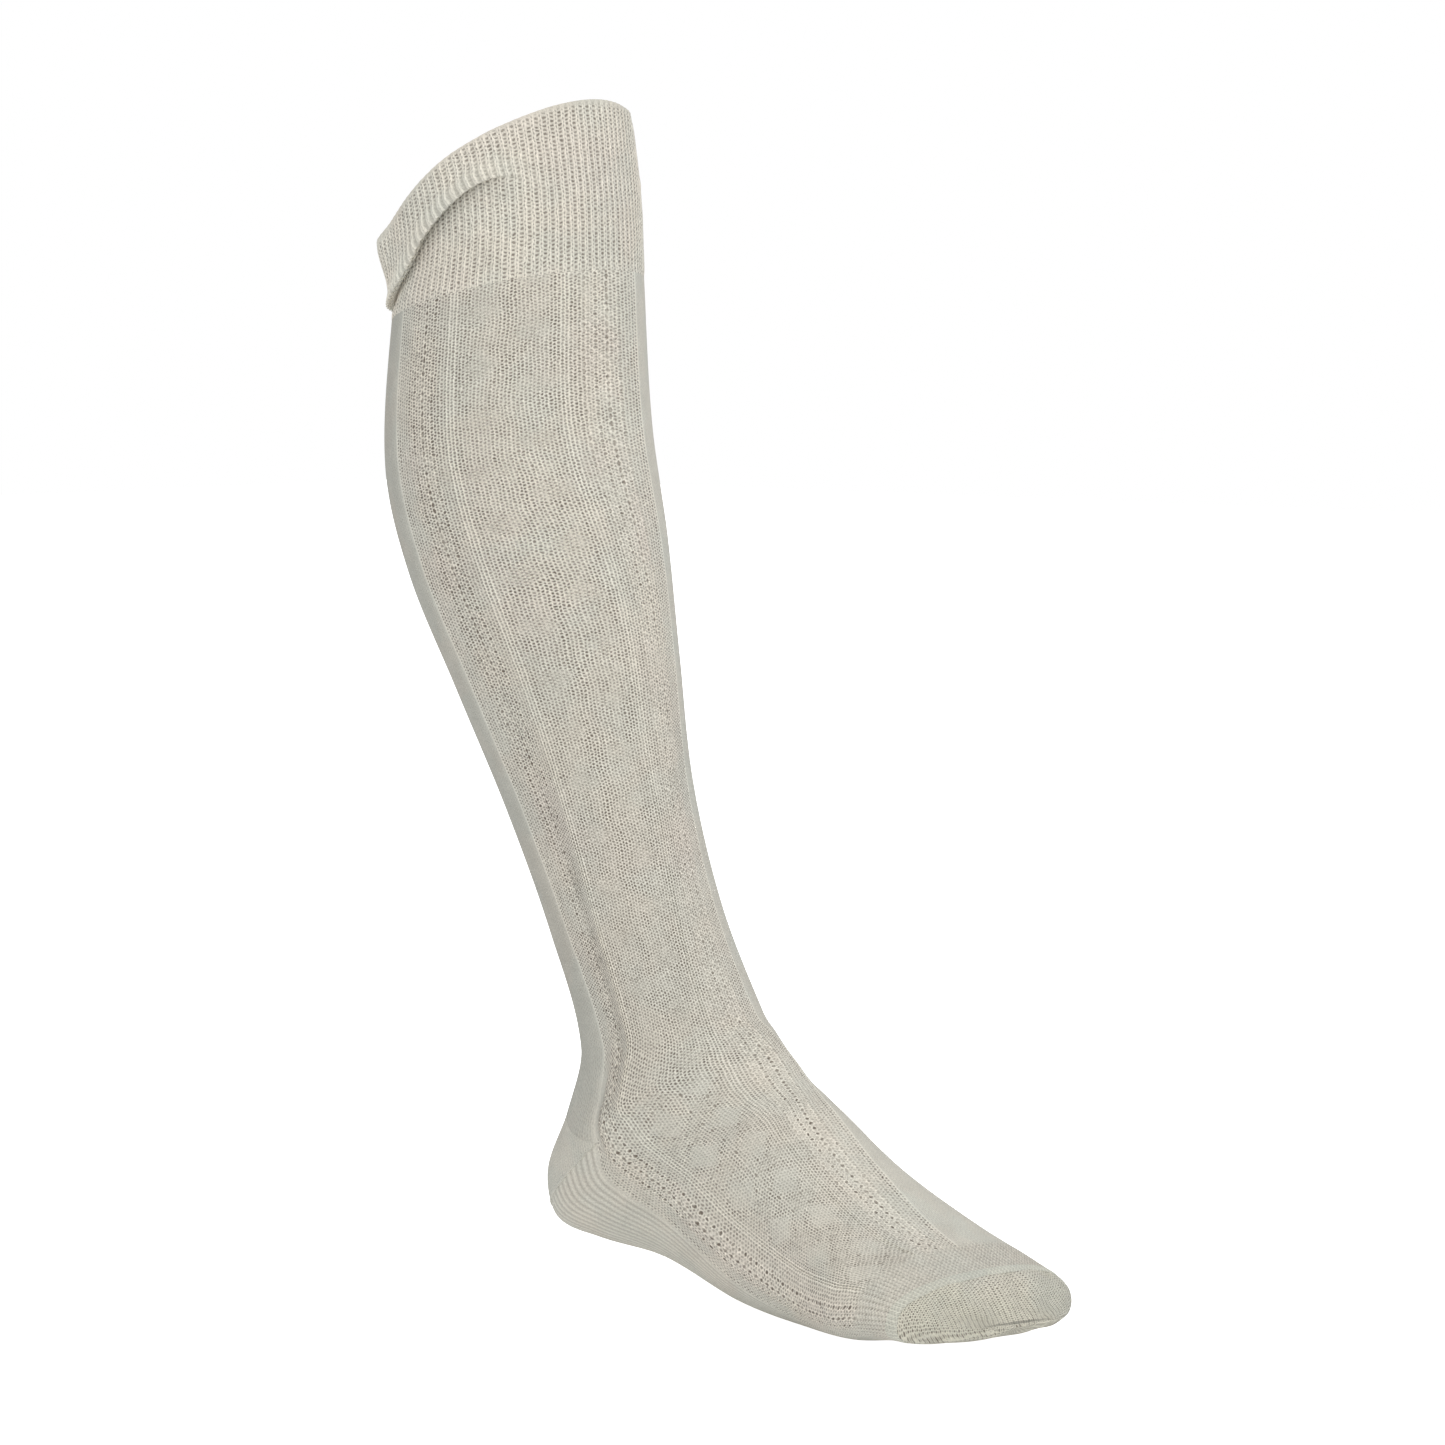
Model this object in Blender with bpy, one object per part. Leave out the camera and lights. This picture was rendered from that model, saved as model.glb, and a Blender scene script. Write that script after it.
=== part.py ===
"""A wool knee sock in the form it has on a leg: ribbed cuff with a turned tuck, leg, heel, foot, toe.

The cloth follows one surface. Sections across the leg and the foot are named in two short tables,
and every knitted piece is a stretch of that surface, thickened inwards by its own wall.
Metres, +Z up, +X towards the toes, origin at the middle of the mouth, where the leg goes in.
"""

import math
from collections import namedtuple

import bmesh
import bpy
import numpy as np

# Driving sizes
LEG_HEIGHT = 0.496  # sole to the front of the rim
CALF_DEPTH = 0.119  # front to back at the fullest part of the calf
CALF_WIDTH = 0.114  # side to side there
FOOT_LENGTH = 0.242  # back of the heel to the tip of the toes
ANKLE_HEIGHT = 0.110  # sole to the bend at the front of the ankle
BALL_WIDTH = 0.090  # side to side at the ball of the foot
CLOTH_WALL = 0.0014
CUFF_WALL = 0.0016
SEAM_WALL = 0.0020
SEAM_BREADTH = 0.0045
PIECE_GAP = 0.0003  # between two neighbouring pieces of cloth
RIB_COUNT = 100  # ribs round the cuff
RIB_DEPTH = 0.0010  # crest to valley
TUCK_REACH = 0.0048  # how far the turned cloth stands out at the back of the knee
TOE_SWELL = 0.0010  # from the hollow between two toes to the top of one

# Points round a section, and rows along each piece
ROUND = 44
LEG_ROWS = 10
FOOT_ROWS = 7
HEEL_ROWS = 6
TOE_ROWS = 4
SECTION_STEPS = 180  # fine steps that share out the way round a section
SHARE_STEP = 0.01  # small steps round and along, to read the surface's slope
AT_STEP = 0.02

# Sections of the leg, from the rim down to the ankle. Forward places and depths are shares of
# CALF_DEPTH, heights are shares of LEG_HEIGHT, half widths are shares of CALF_WIDTH / 2.
# front_round and back_round are 2 for an ellipse and more for a squarer end.
Section = namedtuple(
    "Section", "front_x front_z back_x back_z half_width front_round back_round slant"
)
LEG_SECTIONS = (
    Section(-0.28, 1.000, -1.13, 0.874, 0.89, 2.0, 2.0, 0.0),
    Section(-0.24, 0.915, -1.10, 0.834, 0.92, 2.0, 2.0, 0.0),
    Section(-0.23, 0.857, -1.15, 0.806, 0.945, 2.0, 2.0, 0.0),
    Section(-0.20, 0.732, -1.18, 0.680, 1.00, 2.0, 2.0, 0.0),
    Section(-0.12, 0.633, -1.07, 0.590, 0.97, 2.0, 2.0, 0.0),
    Section(-0.04, 0.531, -0.86, 0.491, 0.83, 2.0, 2.0, 0.0),
    Section(0.05, 0.422, -0.64, 0.389, 0.68, 2.0, 2.0, 0.0),
    Section(0.20, 0.319, -0.44, 0.286, 0.61, 2.0, 2.0, 0.0),
    Section(0.39, 0.236, -0.29, 0.189, 0.61, 2.0, 2.1, 0.0),
)
# Sections of the foot, from the heel's turn to the tip of the toes. Forward places are shares of
# FOOT_LENGTH, heights are shares of ANKLE_HEIGHT, half widths are shares of BALL_WIDTH / 2.
# slant moves the inner side of the foot forward, as a share of the place across.
FOOT_SECTIONS = (
    Section(0.226, 1.000, -0.176, 0.578, 0.80, 2.0, 2.2, 0.0),
    Section(0.255, 0.945, -0.224, 0.321, 0.83, 2.0, 2.3, 0.0),
    Section(0.279, 0.896, -0.198, 0.148, 0.81, 2.1, 2.5, 0.0),
    Section(0.302, 0.845, -0.098, 0.106, 0.79, 2.1, 2.6, 0.0),
    Section(0.329, 0.797, 0.068, 0.088, 0.80, 2.1, 2.7, 0.0),
    Section(0.361, 0.730, 0.252, -0.016, 0.84, 2.2, 2.8, 0.0),
    Section(0.451, 0.565, 0.424, -0.045, 0.90, 2.2, 2.8, 0.05),
    Section(0.580, 0.380, 0.548, -0.024, 1.01, 2.3, 3.0, 0.13),
    Section(0.668, 0.287, 0.637, 0.009, 0.96, 2.4, 3.0, 0.22),
    Section(0.723, 0.231, 0.702, 0.015, 0.85, 2.4, 2.8, 0.30),
    Section(0.754, 0.158, 0.748, 0.041, 0.62, 2.2, 2.4, 0.38),
    Section(0.770, 0.103, 0.776, 0.085, 0.33, 2.0, 2.0, 0.45),
)

# Places along the sock, counted in sections from the rim
RIM_AT = 0.0
CUFF_AT = 2.0  # where the ribs end and the leg begins
HEEL_TOP_AT = 8.7  # top of the heel pocket, at the back
HEEL_CORNER_AT = 10.3  # corner of the heel pocket, at the side of the ankle
HEEL_SOLE_AT = 10.75  # bottom of the heel pocket, at the back
TOE_SEAM_AT = 17.45
TOE_END_AT = 19.6  # the last ring before the tip closes

# Places round the sock: 0 at the shin, 1 at the back, negative on the outer side
HEEL_CORNER = 0.56  # the pocket's corners lie at the last point round the cloth before this
HEEL_CORNER_TRIM = 0.012  # the pocket's pointed corners stop this share short

# The turned tuck at the back of the cuff: the cloth's way from the leg up to the rim.
# cloth is the share of the way along it, out a share of TUCK_REACH, and rise goes from -1
# at the leg to 0 at the crease and 1 at the rim.
TuckPoint = namedtuple("TuckPoint", "cloth out rise")
TUCK = (
    TuckPoint(0.00, 0.00, -1.00),
    TuckPoint(0.27, 0.00, -0.45),
    TuckPoint(0.47, 0.00, 0.02),
    TuckPoint(0.55, 0.35, 0.16),
    TuckPoint(0.62, 0.85, -0.04),
    TuckPoint(0.72, 1.15, 0.10),
    TuckPoint(0.86, 1.15, 0.52),
    TuckPoint(1.00, 1.05, 1.00),
)
# Where the crease lies, as a share of the cuff's height, how far the tuck has folded over, and
# how much of TUCK_REACH it stands out, against the share of the way round from the shin
CreasePoint = namedtuple("CreasePoint", "share height fold reach")
CREASE = (
    CreasePoint(0.00, 0.90, 0.0, 0.3),
    CreasePoint(0.18, 0.90, 0.0, 0.3),
    CreasePoint(0.30, 0.84, 0.6, 0.5),
    CreasePoint(0.40, 0.77, 0.9, 0.7),
    CreasePoint(0.53, 0.63, 1.0, 0.8),
    CreasePoint(0.63, 0.42, 1.0, 0.9),
    CreasePoint(0.75, 0.25, 1.0, 1.1),
    CreasePoint(1.00, 0.20, 1.0, 1.2),
)

# The toes under the cap, side by side over the top of it
TOE_COUNT = 5
TOES_ROUND = 1.10  # share of the way round that the toes take up together
TOE_TOP_REACH = 1.11  # share round from the shin at which their swelling has died away
TOE_ONSET_AT = 16.65  # their swelling begins here, grows over TOE_ONSET and fades before the tip
TOE_ONSET = 1.5
TOE_FADE_AT = 20.2
TOE_FADE = 1.2

# Colours, linear, and finish
CUFF_COLOUR = (0.585, 0.545, 0.468, 1.0)
LEG_COLOUR = (0.560, 0.525, 0.450, 1.0)
HEEL_COLOUR = (0.500, 0.465, 0.385, 1.0)
FOOT_COLOUR = (0.535, 0.495, 0.415, 1.0)
TOE_COLOUR = (0.560, 0.530, 0.445, 1.0)
SEAM_COLOUR = (0.600, 0.570, 0.490, 1.0)
WOOL_ROUGHNESS = 0.92


def clear_scene():
    for existing in list(bpy.data.objects):
        bpy.data.objects.remove(existing, do_unlink=True)


def smooth_through(places, values, at):
    """Values of a smooth curve through rows of values, with Catmull-Rom slopes."""
    places = np.asarray(places, float)
    values = np.asarray(values, float)
    slopes = np.empty_like(values)
    slopes[1:-1] = (values[2:] - values[:-2]) / (places[2:] - places[:-2])[:, None]
    slopes[0] = (values[1] - values[0]) / (places[1] - places[0])
    slopes[-1] = (values[-1] - values[-2]) / (places[-1] - places[-2])
    at = np.clip(np.atleast_1d(np.asarray(at, float)), places[0], places[-1])
    low = np.clip(np.searchsorted(places, at, side="right") - 1, 0, len(places) - 2)
    span = (places[low + 1] - places[low])[:, None]
    u = (at[:, None] - places[low][:, None]) / span
    start = (2 * u**3 - 3 * u**2 + 1) * values[low]
    leave = (u**3 - 2 * u**2 + u) * span * slopes[low]
    end = (3 * u**2 - 2 * u**3) * values[low + 1]
    arrive = (u**3 - u**2) * span * slopes[low + 1]
    return start + leave + end + arrive


def real_sections():
    """The two tables as one array of real sizes."""
    leg_sizes = (CALF_DEPTH, LEG_HEIGHT, CALF_DEPTH, LEG_HEIGHT, CALF_WIDTH / 2, 1, 1, 1)
    foot_sizes = (FOOT_LENGTH, ANKLE_HEIGHT, FOOT_LENGTH, ANKLE_HEIGHT, BALL_WIDTH / 2, 1, 1, 1)
    leg = np.array(LEG_SECTIONS) * np.array(leg_sizes)
    foot = np.array(FOOT_SECTIONS) * np.array(foot_sizes)
    rows = np.vstack([leg, foot])
    front_steps = np.hypot(np.diff(rows[:, 0]), np.diff(rows[:, 1]))
    back_steps = np.hypot(np.diff(rows[:, 2]), np.diff(rows[:, 3]))
    along = np.concatenate([[0.0], np.cumsum((front_steps + back_steps) / 2)])
    return rows, along


SECTIONS, SECTIONS_ALONG = real_sections()
MOUTH_X = (SECTIONS[0, 0] + SECTIONS[0, 2]) / 2
MOUTH_Z = (SECTIONS[0, 1] + SECTIONS[0, 3]) / 2


def signed_power(value, power):
    return np.sign(value) * np.abs(value) ** power


def section_outline(angles, section):
    """Shares forward and across of points at these angles, 0 being the front."""
    forward = np.cos(angles)
    power = np.where(forward > 0, 2 / section.front_round, 2 / section.back_round)
    return signed_power(forward, power), signed_power(np.sin(angles), power)


def section_points(forward, across, section):
    middle_x = (section.front_x + section.back_x) / 2 - MOUTH_X
    middle_z = (section.front_z + section.back_z) / 2 - MOUTH_Z
    half_x = (section.front_x - section.back_x) / 2
    half_z = (section.front_z - section.back_z) / 2
    y = section.half_width * across
    x = middle_x + half_x * forward + section.slant * y
    z = middle_z + half_z * forward
    return np.stack([x, y, z], axis=-1)


def section_at(at):
    index = np.arange(len(SECTIONS_ALONG))
    along = np.interp(at, index, SECTIONS_ALONG)
    return Section(*smooth_through(SECTIONS_ALONG, SECTIONS, along)[0])


def drawn_in(section, inset):
    """The same section with its outline moved in by this much."""
    depth = math.hypot(section.front_x - section.back_x, section.front_z - section.back_z)
    inset_x = inset * (section.front_x - section.back_x) / depth
    inset_z = inset * (section.front_z - section.back_z) / depth
    return section._replace(
        front_x=section.front_x - inset_x,
        front_z=section.front_z - inset_z,
        back_x=section.back_x + inset_x,
        back_z=section.back_z + inset_z,
        half_width=section.half_width - inset,
    )


def round_at(at, shares, inset=0.0):
    """Points of the section at this place, at these shares of the way round."""
    section = section_at(at)
    angles = np.linspace(-math.pi, math.pi, 2 * SECTION_STEPS + 1)
    points = section_points(*section_outline(angles, section), section)
    steps = np.linalg.norm(np.diff(points, axis=0), axis=1)
    length = np.concatenate([[0.0], np.cumsum(steps)])
    share_of_angle = 2 * (length - length[SECTION_STEPS]) / length[-1]
    wrapped = (np.asarray(shares, float) + 1) % 2 - 1
    chosen = np.interp(wrapped, share_of_angle, angles)
    return section_points(*section_outline(chosen, section), drawn_in(section, inset))


def surface_point(share, at, inset=0.0):
    return round_at(at, [share], inset)[0]


def way_down(share, at):
    """The step down the surface for one section here."""
    low_at = max(at - AT_STEP, 0.0)
    high_at = min(at + AT_STEP, len(SECTIONS) - 1.0)
    return (surface_point(share, high_at) - surface_point(share, low_at)) / (high_at - low_at)


def outward_normal(share, at):
    here = surface_point(share, at)
    round_way = surface_point(share + SHARE_STEP, at) - surface_point(share - SHARE_STEP, at)
    normal = np.cross(round_way, way_down(share, at))
    normal /= np.linalg.norm(normal)
    middle = np.mean(round_at(at, [0.0, 0.5, 1.0, -0.5]), axis=0)
    return normal if np.dot(normal, here - middle) > 0 else -normal


def moved_along(share, at, distance):
    """The place this distance further down the sock."""
    return at + distance / np.linalg.norm(way_down(share, at))


def even_shares():
    return np.arange(ROUND) * 2 / ROUND - 1


def heel_corner():
    """The share of the last point round the section that isn't past the pocket's corner."""
    return math.floor(HEEL_CORNER * ROUND / 2) * 2 / ROUND


def heel_edge(share, back_at):
    """An edge of the heel pocket: level in front of its corners, curving to back_at at the back.

    It runs straight between the points of the pieces that meet along it.
    """
    sides = np.arange(ROUND // 2 + 1) * 2 / ROUND
    beyond = np.clip((sides - heel_corner()) / (1 - heel_corner()), 0.0, 1.0)
    edge = HEEL_CORNER_AT + (back_at - HEEL_CORNER_AT) * np.sin(beyond * math.pi / 2)
    return float(np.interp(abs((share + 1) % 2 - 1), sides, edge))


def heel_top(share):
    return heel_edge(share, HEEL_TOP_AT)


def heel_bottom(share):
    return heel_edge(share, HEEL_SOLE_AT)


def tuck_lift(cloth, share):
    """How far out the cuff's cloth stands here, and how high up the cuff it lies."""
    side = abs((share + 1) % 2 - 1)
    crease = [[row.height, row.fold, row.reach] for row in CREASE]
    height, fold, reach = smooth_through([row.share for row in CREASE], crease, side)[0]
    fold = min(max(fold, 0.0), 1.0)
    tuck = [[row.out, row.rise] for row in TUCK]
    out, rise = smooth_through([row.cloth for row in TUCK], tuck, cloth)[0]
    lifted = height * (1 + rise) if rise < 0 else height + rise * (1 - height)
    return out * fold * reach * TUCK_REACH, lifted * fold + cloth * (1 - fold)


def toe_lift(share, at):
    """The low swelling of each toe on top of the cap, fading towards the sole and the seam."""
    onset = min(max((at - TOE_ONSET_AT) / TOE_ONSET, 0.0), 1.0)
    fade = min(max((TOE_FADE_AT - at) / TOE_FADE, 0.0), 1.0)
    top = max(0.0, math.cos(share * math.pi / 2 / TOE_TOP_REACH))
    wave = math.cos(2 * math.pi * TOE_COUNT * (share / TOES_ROUND + 0.5))
    return -TOE_SWELL / 2 * onset * fade * top * wave


def cuff_walls(cloth, rib):
    """Outer and inner points of the ribbed cuff: cloth is the share of the way up it."""
    share = rib / RIB_COUNT
    out, lifted = tuck_lift(cloth, share)
    at = CUFF_AT + (RIM_AT - CUFF_AT) * lifted
    if cloth == 0.0:
        at = moved_along(share, at, -PIECE_GAP / 2)
    outer, inner = surface_point(share, at), surface_point(share, at, CUFF_WALL)
    outwards = (outer - inner) / np.linalg.norm(outer - inner)
    crest = RIB_DEPTH / 2 if rib % 2 == 0 else -RIB_DEPTH / 2
    lift = outwards * (out + crest)
    return outer + lift, inner + lift


def cloth_walls(share, at, wall):
    """Outer and inner points of plain cloth, lifted by the toes where they are."""
    lift = np.zeros(3)
    if at > TOE_ONSET_AT:
        lift = outward_normal(share, at) * toe_lift(share, at)
    return surface_point(share, at) + lift, surface_point(share, at, wall) + lift


def stretch_of_cloth(shares, starts, ends, rows, wall, open_end=True):
    """Rows of outer and inner points between two edges that may wander along the sock."""
    columns = []
    for share, start, end in zip(shares, starts, ends):
        start = moved_along(share, start, PIECE_GAP / 2)
        if open_end:
            end = moved_along(share, end, -PIECE_GAP / 2)
        places = np.linspace(start, end, rows + 1)
        columns.append([cloth_walls(share, at, wall) for at in places])
    return np.transpose(np.array(columns), (1, 0, 2, 3))


def sheet_object(name, walls, closed, colour, tips=None):
    """A sheet of cloth from rows of outer and inner points, closed round its free edges.

    With tips, the last row closes to an outer and an inner point instead of a free edge.
    """
    rows, count = walls.shape[:2]
    form = bmesh.new()
    outer = [[form.verts.new(pair[0]) for pair in row] for row in walls]
    inner = [[form.verts.new(pair[1]) for pair in row] for row in walls]
    around = [(step, (step + 1) % count) for step in range(count if closed else count - 1)]
    for row, below in zip(range(rows - 1), range(1, rows)):
        for side in (outer, inner):
            for here, beside in around:
                corners = (side[row][here], side[below][here], side[below][beside], side[row][beside])
                form.faces.new(corners)
        for edge in () if closed else (0, count - 1):
            corners = (outer[row][edge], inner[row][edge], inner[below][edge], outer[below][edge])
            form.faces.new(corners)
    for row in (0, rows - 1) if tips is None else (0,):
        for here, beside in around:
            corners = (outer[row][here], outer[row][beside], inner[row][beside], inner[row][here])
            form.faces.new(corners)
    if tips is not None:
        for side, tip in zip((outer, inner), tips):
            end = form.verts.new(tip)
            for here, beside in around:
                form.faces.new((side[-1][here], end, side[-1][beside]))
    bmesh.ops.recalc_face_normals(form, faces=form.faces)
    mesh = bpy.data.meshes.new(name)
    form.to_mesh(mesh)
    form.free()
    mesh.shade_smooth()
    piece = bpy.data.objects.new(name, mesh)
    piece.data.materials.append(wool(name, colour))
    return piece


def wool(name, colour):
    material = bpy.data.materials.new(name + "_wool")
    material.use_nodes = True
    shader = material.node_tree.nodes["Principled BSDF"]
    shader.inputs["Base Color"].default_value = colour
    shader.inputs["Roughness"].default_value = WOOL_ROUGHNESS
    shader.inputs["Metallic"].default_value = 0.0
    return material


def cuff():
    half_ribs = range(-RIB_COUNT, RIB_COUNT)
    walls = np.array([[cuff_walls(row.cloth, rib) for rib in half_ribs] for row in TUCK])
    return sheet_object("cuff", walls[::-1], True, CUFF_COLOUR)


def leg():
    shares = even_shares()
    starts = [CUFF_AT] * ROUND
    ends = [heel_top(share) for share in shares]
    walls = stretch_of_cloth(shares, starts, ends, LEG_ROWS, CLOTH_WALL)
    return sheet_object("leg", walls, True, LEG_COLOUR)


def heel():
    first = heel_corner() + HEEL_CORNER_TRIM
    last = 2 - first
    inside = [share % 2 for share in even_shares() if first < share % 2 < last]
    shares = np.array([first] + sorted(inside) + [last])
    starts = [heel_top(share) for share in shares]
    ends = [heel_bottom(share) for share in shares]
    walls = stretch_of_cloth(shares, starts, ends, HEEL_ROWS, CLOTH_WALL)
    return sheet_object("heel", walls, False, HEEL_COLOUR)


def foot():
    shares = even_shares()
    starts = [heel_bottom(share) for share in shares]
    ends = [TOE_SEAM_AT] * ROUND
    walls = stretch_of_cloth(shares, starts, ends, FOOT_ROWS, CLOTH_WALL)
    return sheet_object("foot", walls, True, FOOT_COLOUR)


def seam_edge(shares):
    return [moved_along(share, TOE_SEAM_AT, SEAM_BREADTH) for share in shares]


def toe_seam():
    shares = even_shares()
    walls = stretch_of_cloth(shares, [TOE_SEAM_AT] * ROUND, seam_edge(shares), 1, SEAM_WALL)
    return sheet_object("toe_seam", walls, True, SEAM_COLOUR)


def toe():
    shares = even_shares()
    ends = [TOE_END_AT] * ROUND
    walls = stretch_of_cloth(shares, seam_edge(shares), ends, TOE_ROWS, CLOTH_WALL, open_end=False)
    tip = np.mean(round_at(len(SECTIONS) - 1.0, shares), axis=0)
    inner_tip = tip - np.array([CLOTH_WALL, 0.0, 0.0])
    return sheet_object("toe", walls, True, TOE_COLOUR, (tip, inner_tip))


def main():
    clear_scene()
    collection = bpy.data.collections.new("wool_knee_sock")
    bpy.context.scene.collection.children.link(collection)
    for piece in (cuff(), leg(), heel(), foot(), toe_seam(), toe()):
        collection.objects.link(piece)


if __name__ == "__main__":
    main()
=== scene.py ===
"""The finished look of a wool knee sock: its knit, openwork, tuck, colours, light and camera.

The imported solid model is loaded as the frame. Each operator knits one piece over its solid, as a
fine mesh that follows the wales and courses of the cloth, and the last operator sets the stage.
Metres, +Z up, +X towards the toes, origin at the middle of the sock's mouth.
"""

import math

import bpy
import numpy as np
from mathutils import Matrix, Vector


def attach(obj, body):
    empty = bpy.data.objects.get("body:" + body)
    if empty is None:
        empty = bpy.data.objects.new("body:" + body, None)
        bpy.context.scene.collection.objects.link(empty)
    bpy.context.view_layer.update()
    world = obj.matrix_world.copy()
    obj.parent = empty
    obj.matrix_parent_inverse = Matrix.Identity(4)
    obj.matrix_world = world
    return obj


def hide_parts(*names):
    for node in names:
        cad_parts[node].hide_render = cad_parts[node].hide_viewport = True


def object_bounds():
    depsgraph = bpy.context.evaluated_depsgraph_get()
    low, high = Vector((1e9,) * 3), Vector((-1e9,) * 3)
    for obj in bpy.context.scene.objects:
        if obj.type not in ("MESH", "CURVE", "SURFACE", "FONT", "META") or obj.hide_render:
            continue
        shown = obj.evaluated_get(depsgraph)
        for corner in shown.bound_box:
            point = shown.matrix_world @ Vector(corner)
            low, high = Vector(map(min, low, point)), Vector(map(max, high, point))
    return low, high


bl_info = {
    "name": "Wool knee sock",
    "version": (1, 0, 0),
    "blender": (4, 5, 0),
    "location": "3D View > Sidebar > Sock",
    "description": "Knits the pieces of a wool knee sock over its solid model and lights it",
    "category": "Object",
}

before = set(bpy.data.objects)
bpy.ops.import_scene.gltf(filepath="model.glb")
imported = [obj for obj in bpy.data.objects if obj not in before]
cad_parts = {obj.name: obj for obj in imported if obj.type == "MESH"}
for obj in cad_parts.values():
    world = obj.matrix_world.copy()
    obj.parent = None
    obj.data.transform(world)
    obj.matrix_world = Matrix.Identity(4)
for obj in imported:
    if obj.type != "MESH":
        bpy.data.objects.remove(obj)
CAD_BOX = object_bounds()

# Sections of the leg, from the rim down to the ankle, then of the foot to the tip of the toes.
# Columns: front x, front z, back x, back z, half width, front round, back round, slant.
# Leg places are shares of the calf's depth, the leg's height and half the calf's width.
LEG_SECTIONS = (
    (-0.28, 1.000, -1.13, 0.874, 0.89, 2.0, 2.0, 0.0),
    (-0.24, 0.915, -1.10, 0.834, 0.92, 2.0, 2.0, 0.0),
    (-0.23, 0.857, -1.15, 0.806, 0.945, 2.0, 2.0, 0.0),
    (-0.20, 0.732, -1.18, 0.680, 1.00, 2.0, 2.0, 0.0),
    (-0.12, 0.633, -1.07, 0.590, 0.97, 2.0, 2.0, 0.0),
    (-0.04, 0.531, -0.86, 0.491, 0.83, 2.0, 2.0, 0.0),
    (0.05, 0.422, -0.64, 0.389, 0.68, 2.0, 2.0, 0.0),
    (0.20, 0.319, -0.44, 0.286, 0.61, 2.0, 2.0, 0.0),
    (0.39, 0.236, -0.29, 0.189, 0.61, 2.0, 2.1, 0.0),
)
# Foot places are shares of the foot's length, the ankle's height and half the ball's width.
FOOT_SECTIONS = (
    (0.226, 1.000, -0.176, 0.578, 0.80, 2.0, 2.2, 0.0),
    (0.255, 0.945, -0.224, 0.321, 0.83, 2.0, 2.3, 0.0),
    (0.279, 0.896, -0.198, 0.148, 0.81, 2.1, 2.5, 0.0),
    (0.302, 0.845, -0.098, 0.106, 0.79, 2.1, 2.6, 0.0),
    (0.329, 0.797, 0.068, 0.088, 0.80, 2.1, 2.7, 0.0),
    (0.361, 0.730, 0.252, -0.016, 0.84, 2.2, 2.8, 0.0),
    (0.451, 0.565, 0.424, -0.045, 0.90, 2.2, 2.8, 0.05),
    (0.580, 0.380, 0.548, -0.024, 1.01, 2.3, 3.0, 0.13),
    (0.668, 0.287, 0.637, 0.009, 0.96, 2.4, 3.0, 0.22),
    (0.723, 0.231, 0.702, 0.015, 0.85, 2.4, 2.8, 0.30),
    (0.754, 0.158, 0.748, 0.041, 0.62, 2.2, 2.4, 0.38),
    (0.770, 0.103, 0.776, 0.085, 0.33, 2.0, 2.0, 0.45),
)

# Places along the sock, counted in sections from the rim
CUFF_AT = 2.0
HEEL_TOP_AT = 8.7
HEEL_CORNER_AT = 10.3
HEEL_SOLE_AT = 10.75
PATTERN_END_AT = 16.6
TOE_SEAM_AT = 17.45
TIP_AT = 20.0
GUSSET_AT = (10.36, 0.60)  # place along, share of the way round
SOLE_FROM = 0.60  # share of the way round of the wale where the plain sole begins
HEEL_CORNER = 0.545  # share of the way round from the shin
HEEL_GAP = 0.004  # share of the way round from the corner to the pocket's edge

# The turned tuck of the cuff: way along the cloth from leg to rim, how far out it stands, and its
# height from -1 at the leg, 0 at the crease, to 1 at the rim
TUCK = (
    (0.00, 0.00, -1.00),
    (0.27, 0.00, -0.45),
    (0.47, 0.00, 0.02),
    (0.55, 0.35, 0.16),
    (0.62, 0.85, -0.04),
    (0.72, 1.15, 0.10),
    (0.86, 1.15, 0.52),
    (1.00, 1.05, 1.00),
)
# Share round from the shin, height of the crease in the cuff, how far it has folded, its reach, and
# how far the rim hangs down
CREASE = (
    (0.00, 0.90, 0.0, 0.3, 0.00),
    (0.18, 0.90, 0.0, 0.3, 0.00),
    (0.30, 0.84, 0.6, 0.5, 0.00),
    (0.40, 0.77, 0.9, 0.7, 0.00),
    (0.53, 0.63, 1.0, 0.8, 0.03),
    (0.63, 0.42, 1.0, 0.85, 0.05),
    (0.75, 0.25, 1.0, 0.85, 0.03),
    (0.86, 0.22, 1.0, 0.75, 0.02),
    (1.00, 0.20, 1.0, 0.75, 0.00),
)
# Way along the cloth of the tuck, and how far its ribs lean back there
RIB_LEAN = (
    (0.00, 0.0),
    (0.50, 0.0),
    (0.60, -0.8),
    (0.70, 0.0),
    (0.84, 0.1),
    (1.00, 1.0),
)
LEAN = 0.013  # share of the way round
RIM_CORNER = 0.76  # share round from the shin of the corner where the rim flares
RIM_FLARE = 0.0050

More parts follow.
